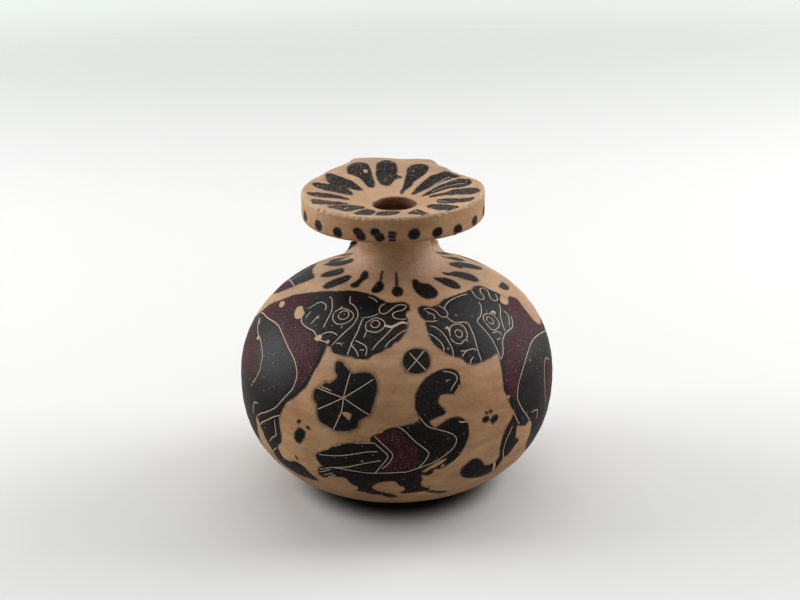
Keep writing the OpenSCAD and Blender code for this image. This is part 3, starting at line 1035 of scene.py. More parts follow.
def sliceRing(half, depth):
    # One slice across the strap: a box with rounded edges, with more points along its two wide faces
    edge = handle["edgeRound"]
    edgeSteps, faceSteps = 5, 16
    ring = []
    for x, d, start in ((half - edge, depth / 2 - edge, 0), (edge - half, depth / 2 - edge, 90),
                        (edge - half, edge - depth / 2, 180), (half - edge, edge - depth / 2, 270)):
        for step in range(edgeSteps + 1):
            angle = math.radians(start + 90 * step / edgeSteps)
            ring.append((x + edge * math.cos(angle), d + edge * math.sin(angle)))
        if start in (0, 180):
            sign = 1 if start == 0 else -1
            for step in range(1, faceSteps):
                ring.append((sign * (half - edge) * (1 - 2 * step / faceSteps), sign * (depth / 2)))
    return ring


def makeHandle():
    # The strap is lofted through slices across its width, from inside the disc, over the corner and down.
    # Each slice is given by the (y, z) of its outer and of its inner face.
    outer, corner, turn = handle["outer"], handle["cornerRound"], handle["innerRound"]
    inner = outer - handle["thick"]
    lugTop = handle["lugTop"]
    lugLow = lugTop - handle["lugThick"]
    outerCorner = (outer - corner, lugTop - corner)
    innerCorner = (inner - turn, lugLow - turn)
    slices = []
    for y in np.linspace(handle["lugStart"], innerCorner[0], 18):
        slices.append(((y, lugTop), (y, lugLow)))
    for y in np.linspace(innerCorner[0], outerCorner[0], 9)[1:-1]:
        slices.append(((y, lugTop), (innerCorner[0], lugLow)))
    for angle in np.radians(np.linspace(90, 0, 12)):
        across, up = math.cos(angle), math.sin(angle)
        slices.append(((outerCorner[0] + corner * across, outerCorner[1] + corner * up),
                       (innerCorner[0] + turn * across, innerCorner[1] + turn * up)))
    for z in np.linspace(innerCorner[1], handle["bottom"], 34)[1:]:
        slices.append(((outer, z), (inner, z)))
    points, rings = [], []
    for (outY, outZ), (inY, inZ) in slices:
        onBack = outY > outer - 0.01
        half = float(strapHalfWidth(np.array([(outZ + inZ) / 2]))[0]) if onBack else handle["topWidth"] / 2
        # How much of the lug's rounded plan this slice keeps: all on the lug, none at the back face
        pastLug = outY - outerCorner[0]
        keeps = 1.0 if pastLug < 0.01 else max(0.0, 1 - pastLug / corner) ** 0.5
        depth = math.hypot(outY - inY, outZ - inZ)
        middle = ((outY + inY) / 2, (outZ + inZ) / 2)
        outward = ((outY - inY) / depth, (outZ - inZ) / depth)
        ring = sliceRing(half, depth)
        rings.append(list(range(len(points), len(points) + len(ring))))
        for x, d in ring:
            if d > depth / 2 - 0.01 and onBack:
                d -= handle["hollow"] * math.cos(math.pi / 2 * max(-1, min(1, x / half))) ** 2
            y, z = middle[0] + outward[0] * d, middle[1] + outward[1] * d
            plan = float(lugHalfWidth(np.array([outY]), np.array([x]))[0])
            x *= 1 + keeps * (plan / half - 1)
            if keeps > 0 and d > 0:
                at = np.array([[x, min(y, outerCorner[0]), 0.0]])
                z += keeps * (float(lugLevel(at[:, 0], at[:, 1])[0] + mouthRipple(at)[0]) - lugTop)
            points.append((x, y, z))
    faces = joinedRings(rings, turned=True)
    faces.append(tuple(rings[0]))
    faces.append(tuple(reversed(rings[-1])))
    points = np.array(points)
    points[:, 0] += strapRipple(points[:, 0], points[:, 2])
    piece = makeObject("strap_handle", points, faces, handledClay)
    finishPiece(piece, "clay", "handle")


def makeRimLuting():
    # A fillet in the angle between the strap and the underside of the disc, a little smaller at its ends
    half = handle["midWidth"] / 2 - handle["edgeRound"]
    inner = handle["outer"] - handle["thick"]
    hiddenY, hiddenTop = inner + 0.5, mouth["low"] + 0.4
    points, rings = [], []
    for x in np.linspace(-half, half, 30):
        width = handle["lutingWidth"] * (1 - 0.35 * (abs(x) / half) ** 4)
        ring = [(hiddenY, mouth["low"] - width)]
        ring += [tuple(p) for p in arcPoints((inner - width, mouth["low"] - width), width, 0, 90, 12)]
        ring += [(inner - width, hiddenTop), (hiddenY, hiddenTop)]
        rings.append(list(range(len(points), len(points) + len(ring))))
        points.extend((x, y, z) for y, z in ring)
    faces = joinedRings(rings)
    faces.append(tuple(reversed(rings[0])))
    faces.append(tuple(rings[-1]))
    piece = makeObject("rim_fillet", points, faces, lutingClay)
    finishPiece(piece, "luting_clay", "handle_rim_luting")


def makeFootLuting():
    # The hollow curve round the strap's foot, let into the shoulder below and the strap above
    around = 120
    turns = np.radians(np.linspace(0, 360, around, endpoint=False))
    slices = [(handle["lutingWidth"] + 0.5, -0.6)]
    slices += [footCurve(share) for share in np.linspace(0, 1, 13)]
    slices.append((-0.3, slices[-1][1]))
    points, rings = [], []
    for spread, rise in slices:
        x, y, _ = footPlace(turns, spread)
        z = shoulderHeight(np.hypot(x, y)) + rise
        rings.append(list(range(len(points), len(points) + around)))
        points.extend(zip(x, y, z))
    piece = makeObject("foot_fillet", points, joinedRings(rings), lutingClay)
    finishPiece(piece, "luting_clay", "handle_foot_luting")


makeBody()
makeNeck()
makeFlare()
makeMouthRing()
makeMouth()
makeHandle()
makeRimLuting()
makeFootLuting()
print("clay pieces made")


# The painted forms, in (u, v) on the globe

leftFeline = {
    "outline": [
        (-14, 31.6), (-10.2, 31.2), (-7.9, 30.8), (-6, 30.1), (-4.5, 29.7), (-3.6, 29.3), (-2.2, 29.1),
        (0.5, 29), (2.8, 29.1), (4.3, 28.7), (5.1, 27.9), (4.9, 26.9), (3.7, 26.3), (3.3, 25.4),
        (3.8, 24.6), (3.6, 23.5), (2.9, 22), (2, 20.6), (0.9, 19.7), (-0.3, 19.1), (-1.1, 18.3),
        (-2.2, 18), (-3.1, 17.4), (-4.9, 16.6), (-6, 15.8), (-7.7, 15.5), (-10.2, 15.8), (-13, 16),
        (-14.9, 16.2), (-15.8, 17.3), (-15.8, 17.3), (-16.9, 17.4), (-16.9, 17.4), (-17.2, 14.8),
        (-18, 12.2), (-18.9, 9.7), (-20.3, 7.5), (-22.1, 5.7), (-23.9, 4.1), (-25, 2.3), (-25.9, 0.6),
        (-25.9, -1.2), (-25.9, -3.3), (-26.1, -5.1), (-27.6, -6.6), (-27.7, -8), (-27.2, -9.5),
        (-25.4, -9.9), (-23.2, -9.1), (-21.4, -9.5), (-20.3, -11.3), (-19.1, -12.7), (-19.4, -13.6),
        (-21.8, -14), (-25, -14), (-28.3, -12.9), (-30.5, -11.3), (-30.8, -9.1), (-31.9, -7),
        (-32.6, -4.8), (-33.5, -3), (-34.4, -1.9), (-34.4, -1.9), (-35, -2.8), (-35.2, -4.8),
        (-36.2, -7.7), (-37.2, -10.2), (-37.4, -12.6), (-35.2, -14.4), (-34.4, -16.2), (-37.6, -17.2),
        (-42, -17), (-45.8, -15.6), (-46.6, -12.4), (-46.2, -9), (-46.4, -6), (-48.8, -4.4),
        (-54, -4.2), (-60, -4.6), (-66, -4.8), (-71.5, -4), (-73.6, -6.4), (-74.4, -9.6), (-73, -12.4),
        (-70.2, -14.6), (-71, -16.4), (-75.4, -16.8), (-79.8, -16), (-81.2, -13), (-80.6, -9.8),
        (-82, -7.6), (-84, -7.8), (-86.2, -10), (-86, -12.8), (-83.8, -15), (-84.6, -16.8),
        (-89, -17.2), (-93.2, -15.8), (-93.6, -12), (-92, -7.4), (-90, -3), (-88.8, 2), (-88.8, 6),
        (-90.4, 9), (-93.4, 11.2), (-96.2, 14), (-96.6, 17), (-94.4, 18.6), (-92.4, 17.2), (-93.4, 15.2),
        (-91.4, 12.8), (-87.6, 12.2), (-81, 12.4), (-73, 11.8), (-66, 11.5), (-59, 11.8), (-54, 12.8),
        (-51.4, 14.6), (-49.6, 16.6), (-48.4, 18.4), (-46.6, 20), (-44.8, 21.6), (-43.1, 23),
        (-41, 24.8), (-38.4, 26.2), (-35.5, 27.5), (-32, 28.7), (-27, 30), (-20, 31.5)],
    "lines": [
        # left eye, face and muzzle
        [(-19.9, 24.7), (-18.8, 25.8), (-17, 26.2), (-14, 25.6), (-12.9, 24.4), (-14, 23), (-15.5, 22.4),
         (-17, 22.3), (-19, 23.2), (-19.9, 24.7)],
        [(-18, 24.6), (-17.4, 25.5), (-16.3, 25.7), (-15.1, 25.4), (-14.6, 24.5), (-15.2, 23.7),
         (-16.4, 23.5), (-17.5, 23.8), (-18, 24.6)],
        [(-18.9, 25.8), (-18.3, 26.8)],
        [(-15, 22.3), (-15.2, 21.3)],
        [(-18.5, 29.8), (-16.8, 28), (-14.9, 27.5), (-13, 26.5), (-11.85, 25.4), (-11.6, 24.4),
         (-12, 22.7), (-13.2, 21.2), (-14.3, 19.9), (-15.3, 18.3), (-15.8, 17.4)],
        [(-26.7, 28.2), (-24.8, 27.8), (-22.9, 26.7), (-21.6, 25.6), (-20.8, 24.2), (-20.5, 22.7),
         (-20.3, 20.8)],
        [(-30.1, 23.5), (-29.2, 24.8), (-27.9, 26.1), (-25.4, 26.1), (-23.9, 25.4), (-23.4, 24.6)],
        [(-28, 23.5), (-28, 21.6)],
        [(-24.2, 23.1), (-24.8, 20.8)],
        [(-29.8, 21.6), (-28.2, 20.5), (-25.4, 19.9), (-22.7, 19.6), (-21.2, 18.9), (-19.7, 18.2),
         (-17.9, 18), (-16.8, 17.8)],
        [(-19.9, 19.1), (-18.9, 19.9), (-17.2, 20.3), (-15.3, 19.9)],
        [(-14.9, 18), (-13.9, 18.3), (-13, 17.8)],
        [(-5.2, 26), (-6.4, 25.4), (-8.3, 24.8), (-9.6, 24.6), (-9.9, 23.5), (-10.1, 21.6), (-10.5, 20),
         (-10.9, 18.5), (-11.1, 17.2), (-11.3, 16)],
        # right eye and ear
        [(-8.5, 23.3), (-6.4, 24.7), (-4.9, 24.7), (-3.3, 24), (-2.8, 23.1), (-3.7, 22), (-4.9, 21.4),
         (-6.4, 21.4), (-7.9, 21.8), (-8.5, 23.3)],
        [(-7.05, 23.3), (-6.5, 24), (-5.7, 24.2), (-4.8, 23.9), (-4.4, 23.3), (-4.9, 22.6), (-5.7, 22.4),
         (-6.6, 22.6), (-7.05, 23.3)],
        [(-7.7, 21.6), (-8.1, 19.9)],
        ([(-2.8, 23), (-1, 22.7), (0.1, 23.1), (1.8, 23.7), (3.1, 23.7)], 0.55),
        [(1.5, 24.5), (3.6, 24.6)],
        [(-3.6, 28.7), (-4.9, 28), (-5.3, 27.1), (-4.9, 26.2), (-3.7, 25.9), (-2.6, 26.2), (-1.4, 26.9),
         (-0.5, 27.6), (0.5, 28.1), (1.8, 28.4), (3.1, 28.3), (4, 28), (3.7, 27.4), (2.4, 26.8),
         (0.9, 26.6), (-0.5, 26.1), (-0.7, 25.4), (0.1, 24.8), (1.4, 24.6)],
        [(-0.5, 22.6), (-1.6, 21.6), (-3.1, 20.2), (-4.5, 18.9), (-5.6, 17.4)],
        [(2.7, 21.9), (1.2, 21.2), (-0.3, 20.2), (-1.6, 19.3), (-2.6, 18.1)],
        [(-10.2, 19.3), (-8.9, 18.9), (-7.7, 18.5), (-6.9, 17.8), (-6.8, 16.8), (-7.05, 16.2)],
        [(-11.1, 18.7), (-10.6, 18), (-9.6, 17.4), (-8.9, 16.6), (-8.5, 15.9)],
        [(-8.7, 17.4), (-7.3, 17.4)],
        [(-11, 30.5), (-9, 30.1), (-7.5, 29.6), (-6.6, 29)],
        # shoulder and legs
        [(-50, 15.7), (-46.4, 16.6), (-42.8, 17), (-39.1, 17.5), (-35.5, 17.6), (-32.6, 16.9),
         (-29.7, 15.8), (-26.8, 14.4), (-24.3, 13), (-22.9, 11.5), (-22.2, 9.7), (-22.7, 7.5),
         (-24.3, 5.4), (-26.5, 2.8), (-28.3, 1.4), (-30.5, 0.1), (-32.3, -0.8), (-33.7, -1.9)],
        [(-25, 1.4), (-27.6, 0.1), (-30.1, -1.5), (-31.9, -2.6), (-33.2, -3.8)],
        [(-27.4, -0.4), (-27.4, -2.6), (-27.4, -3.9), (-29, -5.1), (-30.5, -6.6)],
        [(-28.3, -7.3), (-29.7, -8.4), (-30.8, -9.3)],
        [(-46.4, 14.6), (-42.8, 13.7), (-40.2, 13.1), (-38.4, 12.9), (-35.9, 11.7), (-34.6, 10.4),
         (-34.1, 8.2), (-34.8, 6.1), (-36.2, 4.3)],
        [(-36.1, -2.6), (-35.5, -0.1), (-34.4, 0.9), (-33.2, 1)],
        # the far side, which the photo doesn't show
        [(-50, -2.6), (-56, -2.2), (-62, -2.4), (-68, -2.2), (-72, -1)],
        [(-52.4, 9.6), (-53, 6.6), (-52, 3.4), (-52.4, 0.4)],
        [(-56.4, 9), (-57, 6.2), (-56, 3.2), (-56.4, 0.8)],
        [(-60.4, 8.4), (-61, 5.8), (-60, 3.2), (-60.4, 1.2)],
        [(-72, -1), (-71, 3.4), (-72.6, 7.6), (-76.6, 10.2), (-82, 10.6), (-86, 8.8)],
        [(-75.4, -2), (-77.2, -6), (-77.4, -10)],
        [(-84.4, -5.6), (-87, -8.2), (-89, -11.4)]],
    "purple": [
        [(-29.8, 21.4), (-25.4, 19.6), (-21.2, 18.5), (-18.5, 16.4), (-18.2, 14.4), (-18.9, 12.2),
         (-19.8, 9.9), (-21.2, 8), (-22.5, 8), (-22.6, 9.6), (-23.2, 11.3), (-25, 12.9), (-27.2, 14.1),
         (-30, 15.4), (-33, 16.6), (-36, 17.4), (-40, 17.3), (-44, 16.8), (-48.5, 16.1),
         (-51, 16.4), (-49.6, 19.4), (-45, 22.4),
         (-41, 25.2), (-36.6, 27.6), (-33.4, 27.2), (-32, 24.2)],
        [(-47.4, 13.6), (-43, 12.6), (-39.4, 11.8), (-36.8, 10), (-36, 7.6), (-37, 5), (-40, 4.4),
         (-44, 5.4), (-47.4, 8)],
        [(-73.2, 0), (-72.4, 4), (-74.4, 7.6), (-78, 9.4), (-82.4, 9.4), (-85.6, 6.6), (-85, 2),
         (-81, -1.6), (-76, -2.4)]],
    "chips": [
        [(-34.4, 22.8), (-33, 23.6), (-31.2, 23), (-29.6, 22.4), (-29.8, 21.1), (-31.4, 20.7), (-33.2, 21.4)],
        [(-44.2, 21.3), (-43, 21.8), (-41.2, 21.7), (-40.6, 20.9), (-42, 20.4), (-43.6, 20.7)],
        [(-21.3, 18.2), (-20.3, 19.2), (-19.3, 18.8), (-19.8, 17.8)],
        oval((-17.2, 18.2), 0.5, 0.35),
        oval((-24.1, 22.7), 0.4, 0.35),
        oval((-40.3, 12.9), 0.7, 0.5, 20),
        oval((-46, 14.9), 1.6, 0.35, -10)],
}
rightFeline = {
    "outline": [
        (7.9, 26.6), (8.5, 27.3), (10, 27.7), (11.7, 27.3), (13, 27), (15.1, 27.1), (16.7, 27.6),
        (18.2, 28.1), (20.5, 28.4), (23.1, 28.5), (27, 28.5), (30, 28.4), (33.7, 28.2), (36.7, 28.1),
        (38.8, 27.8), (40.2, 27.1), (40.7, 26.2), (41.1, 24.9), (42, 24), (42, 24), (42, 22.6),
        (41.9, 21.2), (41.9, 21.2), (45.1, 21.1), (46.1, 20.7), (47.2, 19.3), (47.2, 19.3), (46, 17.6),
        (45.2, 16), (45.2, 14), (46.6, 12.4), (49, 11.4), (53, 11.2), (59, 11.6), (66, 11.5), (73, 11.8),
        (80, 12.4), (86.6, 12.2), (90.4, 12.8), (92.6, 15), (91.8, 17), (93.8, 18.4), (95.8, 17),
        (95.6, 14), (92.8, 11.2), (90, 9), (88.6, 6), (88.6, 2), (90, -3),
        (92, -7.4), (93.6, -12), (93, -15.8), (88.8, -17), (84.4, -16.6), (83.6, -14.8), (85.8, -12.6),
        (86, -9.8), (83.8, -7.6), (81.8, -7.6), (80.4, -9.8), (81, -13), (79.6, -15.8), (75.2, -16.6),
        (70.8, -16.2), (70, -14.4), (72.8, -12.2), (74.2, -9.4), (73.4, -6.2), (71, -4), (66, -4.6),
        (60, -4.4), (54, -4), (49.4, -3.8), (46.8, -4.6), (45.2, -6.4), (44.4, -8.6), (44.8, -10.8),
        (46.4, -13), (46.4, -15.2), (43.6, -16.4), (39.6, -15.5), (36, -13.3), (33.8, -11.1),
        (32.6, -9), (32.9, -7.2), (32.7, -4.6), (32.7, -4.6), (31.5, -3.2), (30.6, -3.4),
        (29.5, -3.5), (28.4, -3.2), (26.9, -2.6),
        (26.8, -4.6), (27.1, -5.7), (28, -6.1), (28.2, -6.6), (26.9, -7.9), (25.5, -9.3), (24.6, -9.3),
        (23.3, -11.9), (22.6, -12.6), (22.1, -12.8), (19.3, -13), (16, -12.4), (14.1, -11.1),
        (13.4, -9.3), (15.1, -7.2), (16.4, -6.9), (17.5, -7.5), (18.6, -9), (20.1, -9.9), (22.1, -9.7),
        (22.8, -8.6), (22.4, -6.4), (22.6, -4.6), (23.5, -2.5), (24.8, -0.7), (25.9, 0.8), (25.3, 1.5),
        (24.6, 3), (23.9, 5), (23.5, 6.2), (23.9, 9.1), (24.5, 11.7), (24.7, 13.4), (24.7, 13.4),
        (22.2, 13.1), (19.7, 12.8), (17.4, 12.9), (15.9, 13.5), (15, 14.5), (13.4, 15.1), (11.9, 16),
        (10.8, 16.9), (9.8, 17.9), (9, 19.4), (8.7, 20.7), (8.7, 21.9), (8.9, 23), (9, 23.9),
        (8.3, 24.5), (7.9, 25.5)],
    "lines": [
        # left ear and eye
        [(9.6, 26.4), (10.4, 26.8), (11.7, 26.8), (12.9, 26.3), (13.6, 25.5), (13.9, 24.7), (14.6, 24),
         (15.9, 24), (16.8, 24.4), (17, 25.3), (16.7, 26), (15.9, 26.8), (15.1, 27)],
        [(10.4, 26.4), (10.5, 25.9), (11.3, 25.5), (12.2, 24.9), (12.3, 24.3), (11.7, 23.9)],
        [(9.2, 23.7), (10.8, 23.4), (12.7, 23.4)],
        [(16.8, 25.8), (17.6, 26.5), (19.3, 27.2), (21.6, 27.7), (24.3, 27.9), (27.3, 27.9), (30, 27.6)],
        [(15.9, 24), (16.5, 23), (17.4, 22.2), (19, 21.9), (20.3, 21.7), (21, 21.1), (20.9, 19.8),
         (20.6, 18), (20, 16.1), (19.8, 14.4), (19.7, 12.9)],
        [(14.2, 19.2), (14.6, 20.3), (15.7, 21.5), (17.4, 21.7), (19, 21.3), (19.3, 20.1), (19.1, 19),
         (18.2, 18), (17.4, 17.9), (16.3, 17.4), (15.1, 17.7), (14.4, 18.4), (14.2, 19.2)],
        [(15.9, 19.6), (16.3, 20.3), (17, 20.45), (17.7, 20.1), (17.9, 19.5), (17.4, 18.9),
         (16.7, 18.75), (16.1, 19), (15.9, 19.6)],
        [(18.2, 18), (18.4, 17.3)],
        ([(13.7, 21.2), (14.7, 21.5), (14.4, 20.7)], 0.4),
        [(9.9, 22.4), (11, 22), (12.1, 21.1), (12.9, 19.8), (13.4, 18), (13.6, 16.5), (13.4, 15.3)],
        [(8.9, 20.7), (10, 20), (11.1, 18.8), (11.6, 17.7), (11.4, 16.4)],
        [(15.3, 16), (16.7, 15.8), (18.9, 15.8), (19.5, 15.2)],
        [(15.2, 14.6), (15.9, 15.2), (16.9, 15.7)],
        [(16.9, 13.1), (17.2, 13.7), (18.2, 14.3)],
        # right eye and ear
        [(30.3, 25), (30, 24), (28.9, 23.2), (27.5, 22.3), (26.2, 21.7), (24.3, 21.1), (24.1, 20.3),
         (24.6, 18.8), (25, 16.9), (25.1, 15.2), (25, 13.3), (24.8, 12)],
        [(26.3, 20.1), (27, 21.4), (28.9, 21.7), (30.4, 21.1), (30.8, 20.1), (30.4, 18.6), (28.9, 18),
         (27.2, 18), (26.5, 18.8), (26.3, 20.1)],
        [(27.3, 20.1), (27.7, 20.8), (28.4, 21), (29.1, 20.7), (29.3, 20), (28.9, 19.4), (28.3, 19.2),
         (27.6, 19.5), (27.3, 20.1)],
        ([(30.8, 21.5), (32.3, 21.3), (31.3, 20.7)], 0.4),
        [(33.7, 28), (32.5, 27), (31.8, 25.9), (32.3, 25), (33.7, 24.8), (35, 25.4), (35.6, 26.3),
         (36.7, 26.7), (37.9, 27), (39.4, 26.7), (39.8, 26), (38.8, 25.3), (37.5, 24.7), (36.5, 24.2),
         (36.3, 23.4), (37.1, 22.9), (38.6, 22.9), (39.8, 23.6), (40.7, 24)],
        [(37.1, 22), (35.4, 21), (33.5, 20.2), (32.3, 19.4), (31.2, 18), (30.4, 16.7)],
        [(35.7, 20.5), (36, 19.3), (34.8, 18.2), (33.3, 17.2)],
        [(36.7, 18.6), (35.4, 17.4), (33.7, 16.6), (31.6, 16.5), (30, 16.3), (28.5, 15.7), (27.7, 15.1),
         (26.8, 13.8), (26, 12.8), (24.8, 12)],
        [(26.2, 17.5), (27.4, 17.5), (28.5, 17.1), (28.7, 16.1)],
        [(26.2, 15.9), (27.7, 16)],
        # shoulder and legs
        [(50, 9.4), (47.6, 10.2), (44, 11.2), (40.3, 11.8), (37.4, 11.7), (34.5, 10.8), (32, 9.5),
         (29.8, 7.9), (28, 6), (27.1, 3.9), (27.5, 2.1), (28.8, 0.1), (30.2, -1.6), (31.5, -3.2)],
        [(44, 5.1), (42, 6.4), (40.9, 6.4), (39.6, 5.5), (38.7, 3.3), (38.7, 0.8), (39.2, -1.4),
         (40, -2.8)],
        [(25.5, 1.2), (26.6, -1), (27.7, -2.6)],
        [(25.5, -2.1), (24.4, -3.9), (23.7, -5.7), (23.7, -7.5), (24.4, -9.7)],
        ([(21.9, -9.9), (22.3, -11.2), (22.6, -12.7)], 0.5),
        [(32, -1.6), (34.2, -1.9), (34.9, -2.6), (34.7, -4.3)],
        # the far side, which the photo doesn't show
        [(52, -2.8), (57, -2.2), (63, -2.4), (68, -2), (72, -1)],
        [(54, 8.8), (54.6, 6.2), (53.6, 3.2), (54, 0.4)],
        [(58, 8.6), (58.6, 6), (57.6, 3.2), (58, 0.8)],
        [(62, 8.2), (62.6, 5.8), (61.6, 3.2), (62, 1.2)],
        [(72, -1), (71, 3.4), (72.6, 7.6), (76.6, 10.2), (82, 10.6), (86, 8.6)],
        [(75.4, -2), (77.2, -6), (77.4, -10)],
        [(84.4, -5.6), (87, -8.2), (89, -11.4)]],
    "purple": [
        [(38.4, 20.6), (41.9, 21), (45.1, 21), (48, 19.4), (47, 15), (51, 11.4), (50.4, 10), (47.6, 10.6),
         (44, 11.8), (40.3, 12.3), (37.2, 12.2), (34.2, 11.3), (31.6, 10), (29.2, 8.4), (27.4, 6.4),
         (26.4, 4), (25.4, 4), (24.4, 6.6), (24.8, 9.4), (26.2, 12), (28.2, 14.4), (30.4, 15.6),
         (33.8, 15.9), (36.2, 17.4), (37.4, 19)],
        [(44, 4.6), (41.6, 5.6), (40.2, 4.4), (39.4, 2), (39.8, -1), (42, -2.6), (46, -2), (48.6, 1),
         (47.4, 3.8)],
        [(73.2, 0), (72.4, 4), (74.4, 7.6), (78, 9.4), (82.4, 9.4), (85.6, 6.6), (85, 2), (81, -1.6),
         (76, -2.4)]],
    "chips": [
        [(38.4, 22), (40.2, 22.7), (42.4, 22.8), (42.6, 21.2), (41.2, 20.8), (39.4, 20.8)],
        oval((24.4, 4.4), 0.55, 0.35, 20),
        oval((19.2, 23.8), 0.25, 0.22), oval((12.6, 16.9), 0.3, 0.2), oval((34, 9), 0.3, 0.25)],
}
# Two long leaves lie on the shoulder towards the handle; the photo shows only the tip of the left one
leafLeft = {
    "outline": [
        (-50, 29.5), (-46.9, 29.4), (-47.2, 28), (-48.3, 25.8), (-49.3, 23.8), (-51.8, 21.3), (-55, 19.4),
        (-59.4, 18.2), (-65, 17.6), (-71, 18.4), (-76, 20.4), (-79.4, 23), (-80.6, 25.4), (-77, 26),
        (-70, 27), (-62, 28.2), (-55, 29)],
    "lines": [
        [(-49.2, 25), (-54.8, 24), (-59.1, 22.8), (-66, 22), (-73, 22.8), (-78.6, 24.8)],
        [(-56, 23.6), (-60, 25.6), (-64, 27)], [(-63, 22.2), (-67, 24.4), (-71, 26)],
        [(-60, 22.6), (-63, 20.6), (-66.4, 19.2)], [(-67, 22), (-70, 20.8), (-73, 20.2)]],
    "purple": [
        [(-50.6, 24.4), (-52.4, 22.4), (-56, 20.4), (-62, 19.4), (-68, 19.6), (-66, 21.6), (-60, 22.4),
         (-55, 23.6)]],
}
leafRight = {
    "outline": [
        (67, 24.3), (67.8, 23), (69.5, 21.1), (71.6, 19.4), (74.1, 18.4), (76.9, 18.5), (79.7, 19.7),
        (82.3, 21.7), (83.7, 24.2), (83.9, 25.6), (81.8, 26.2), (78.3, 27.2), (74.5, 27.8), (71, 27.2),
        (68.5, 26), (67.1, 25.2)],
    "lines": [
        [(68.8, 24.4), (71.3, 23.2), (74.6, 22.6), (77.9, 22.8), (80.7, 23.8), (82.8, 24.9)],
        [(72, 23.6), (73.9, 25.2), (76, 26.6)], [(76, 22.8), (77.9, 24.6), (80, 25.8)],
        [(72.7, 22.6), (74.1, 20.8), (75.8, 19.4)], [(76.7, 22.4), (78.3, 20.8), (79.9, 20.4)]],
}
felinePaw = [(40.3, -14), (40.9, -13.3), (42.2, -13.1), (44.2, -14.8), (46.7, -17.3), (48.7, -19.1),
             (50.3, -20.2), (49.8, -22), (46.2, -21.8), (43.7, -19.6), (41.7, -16.9), (40.4, -15.1)]
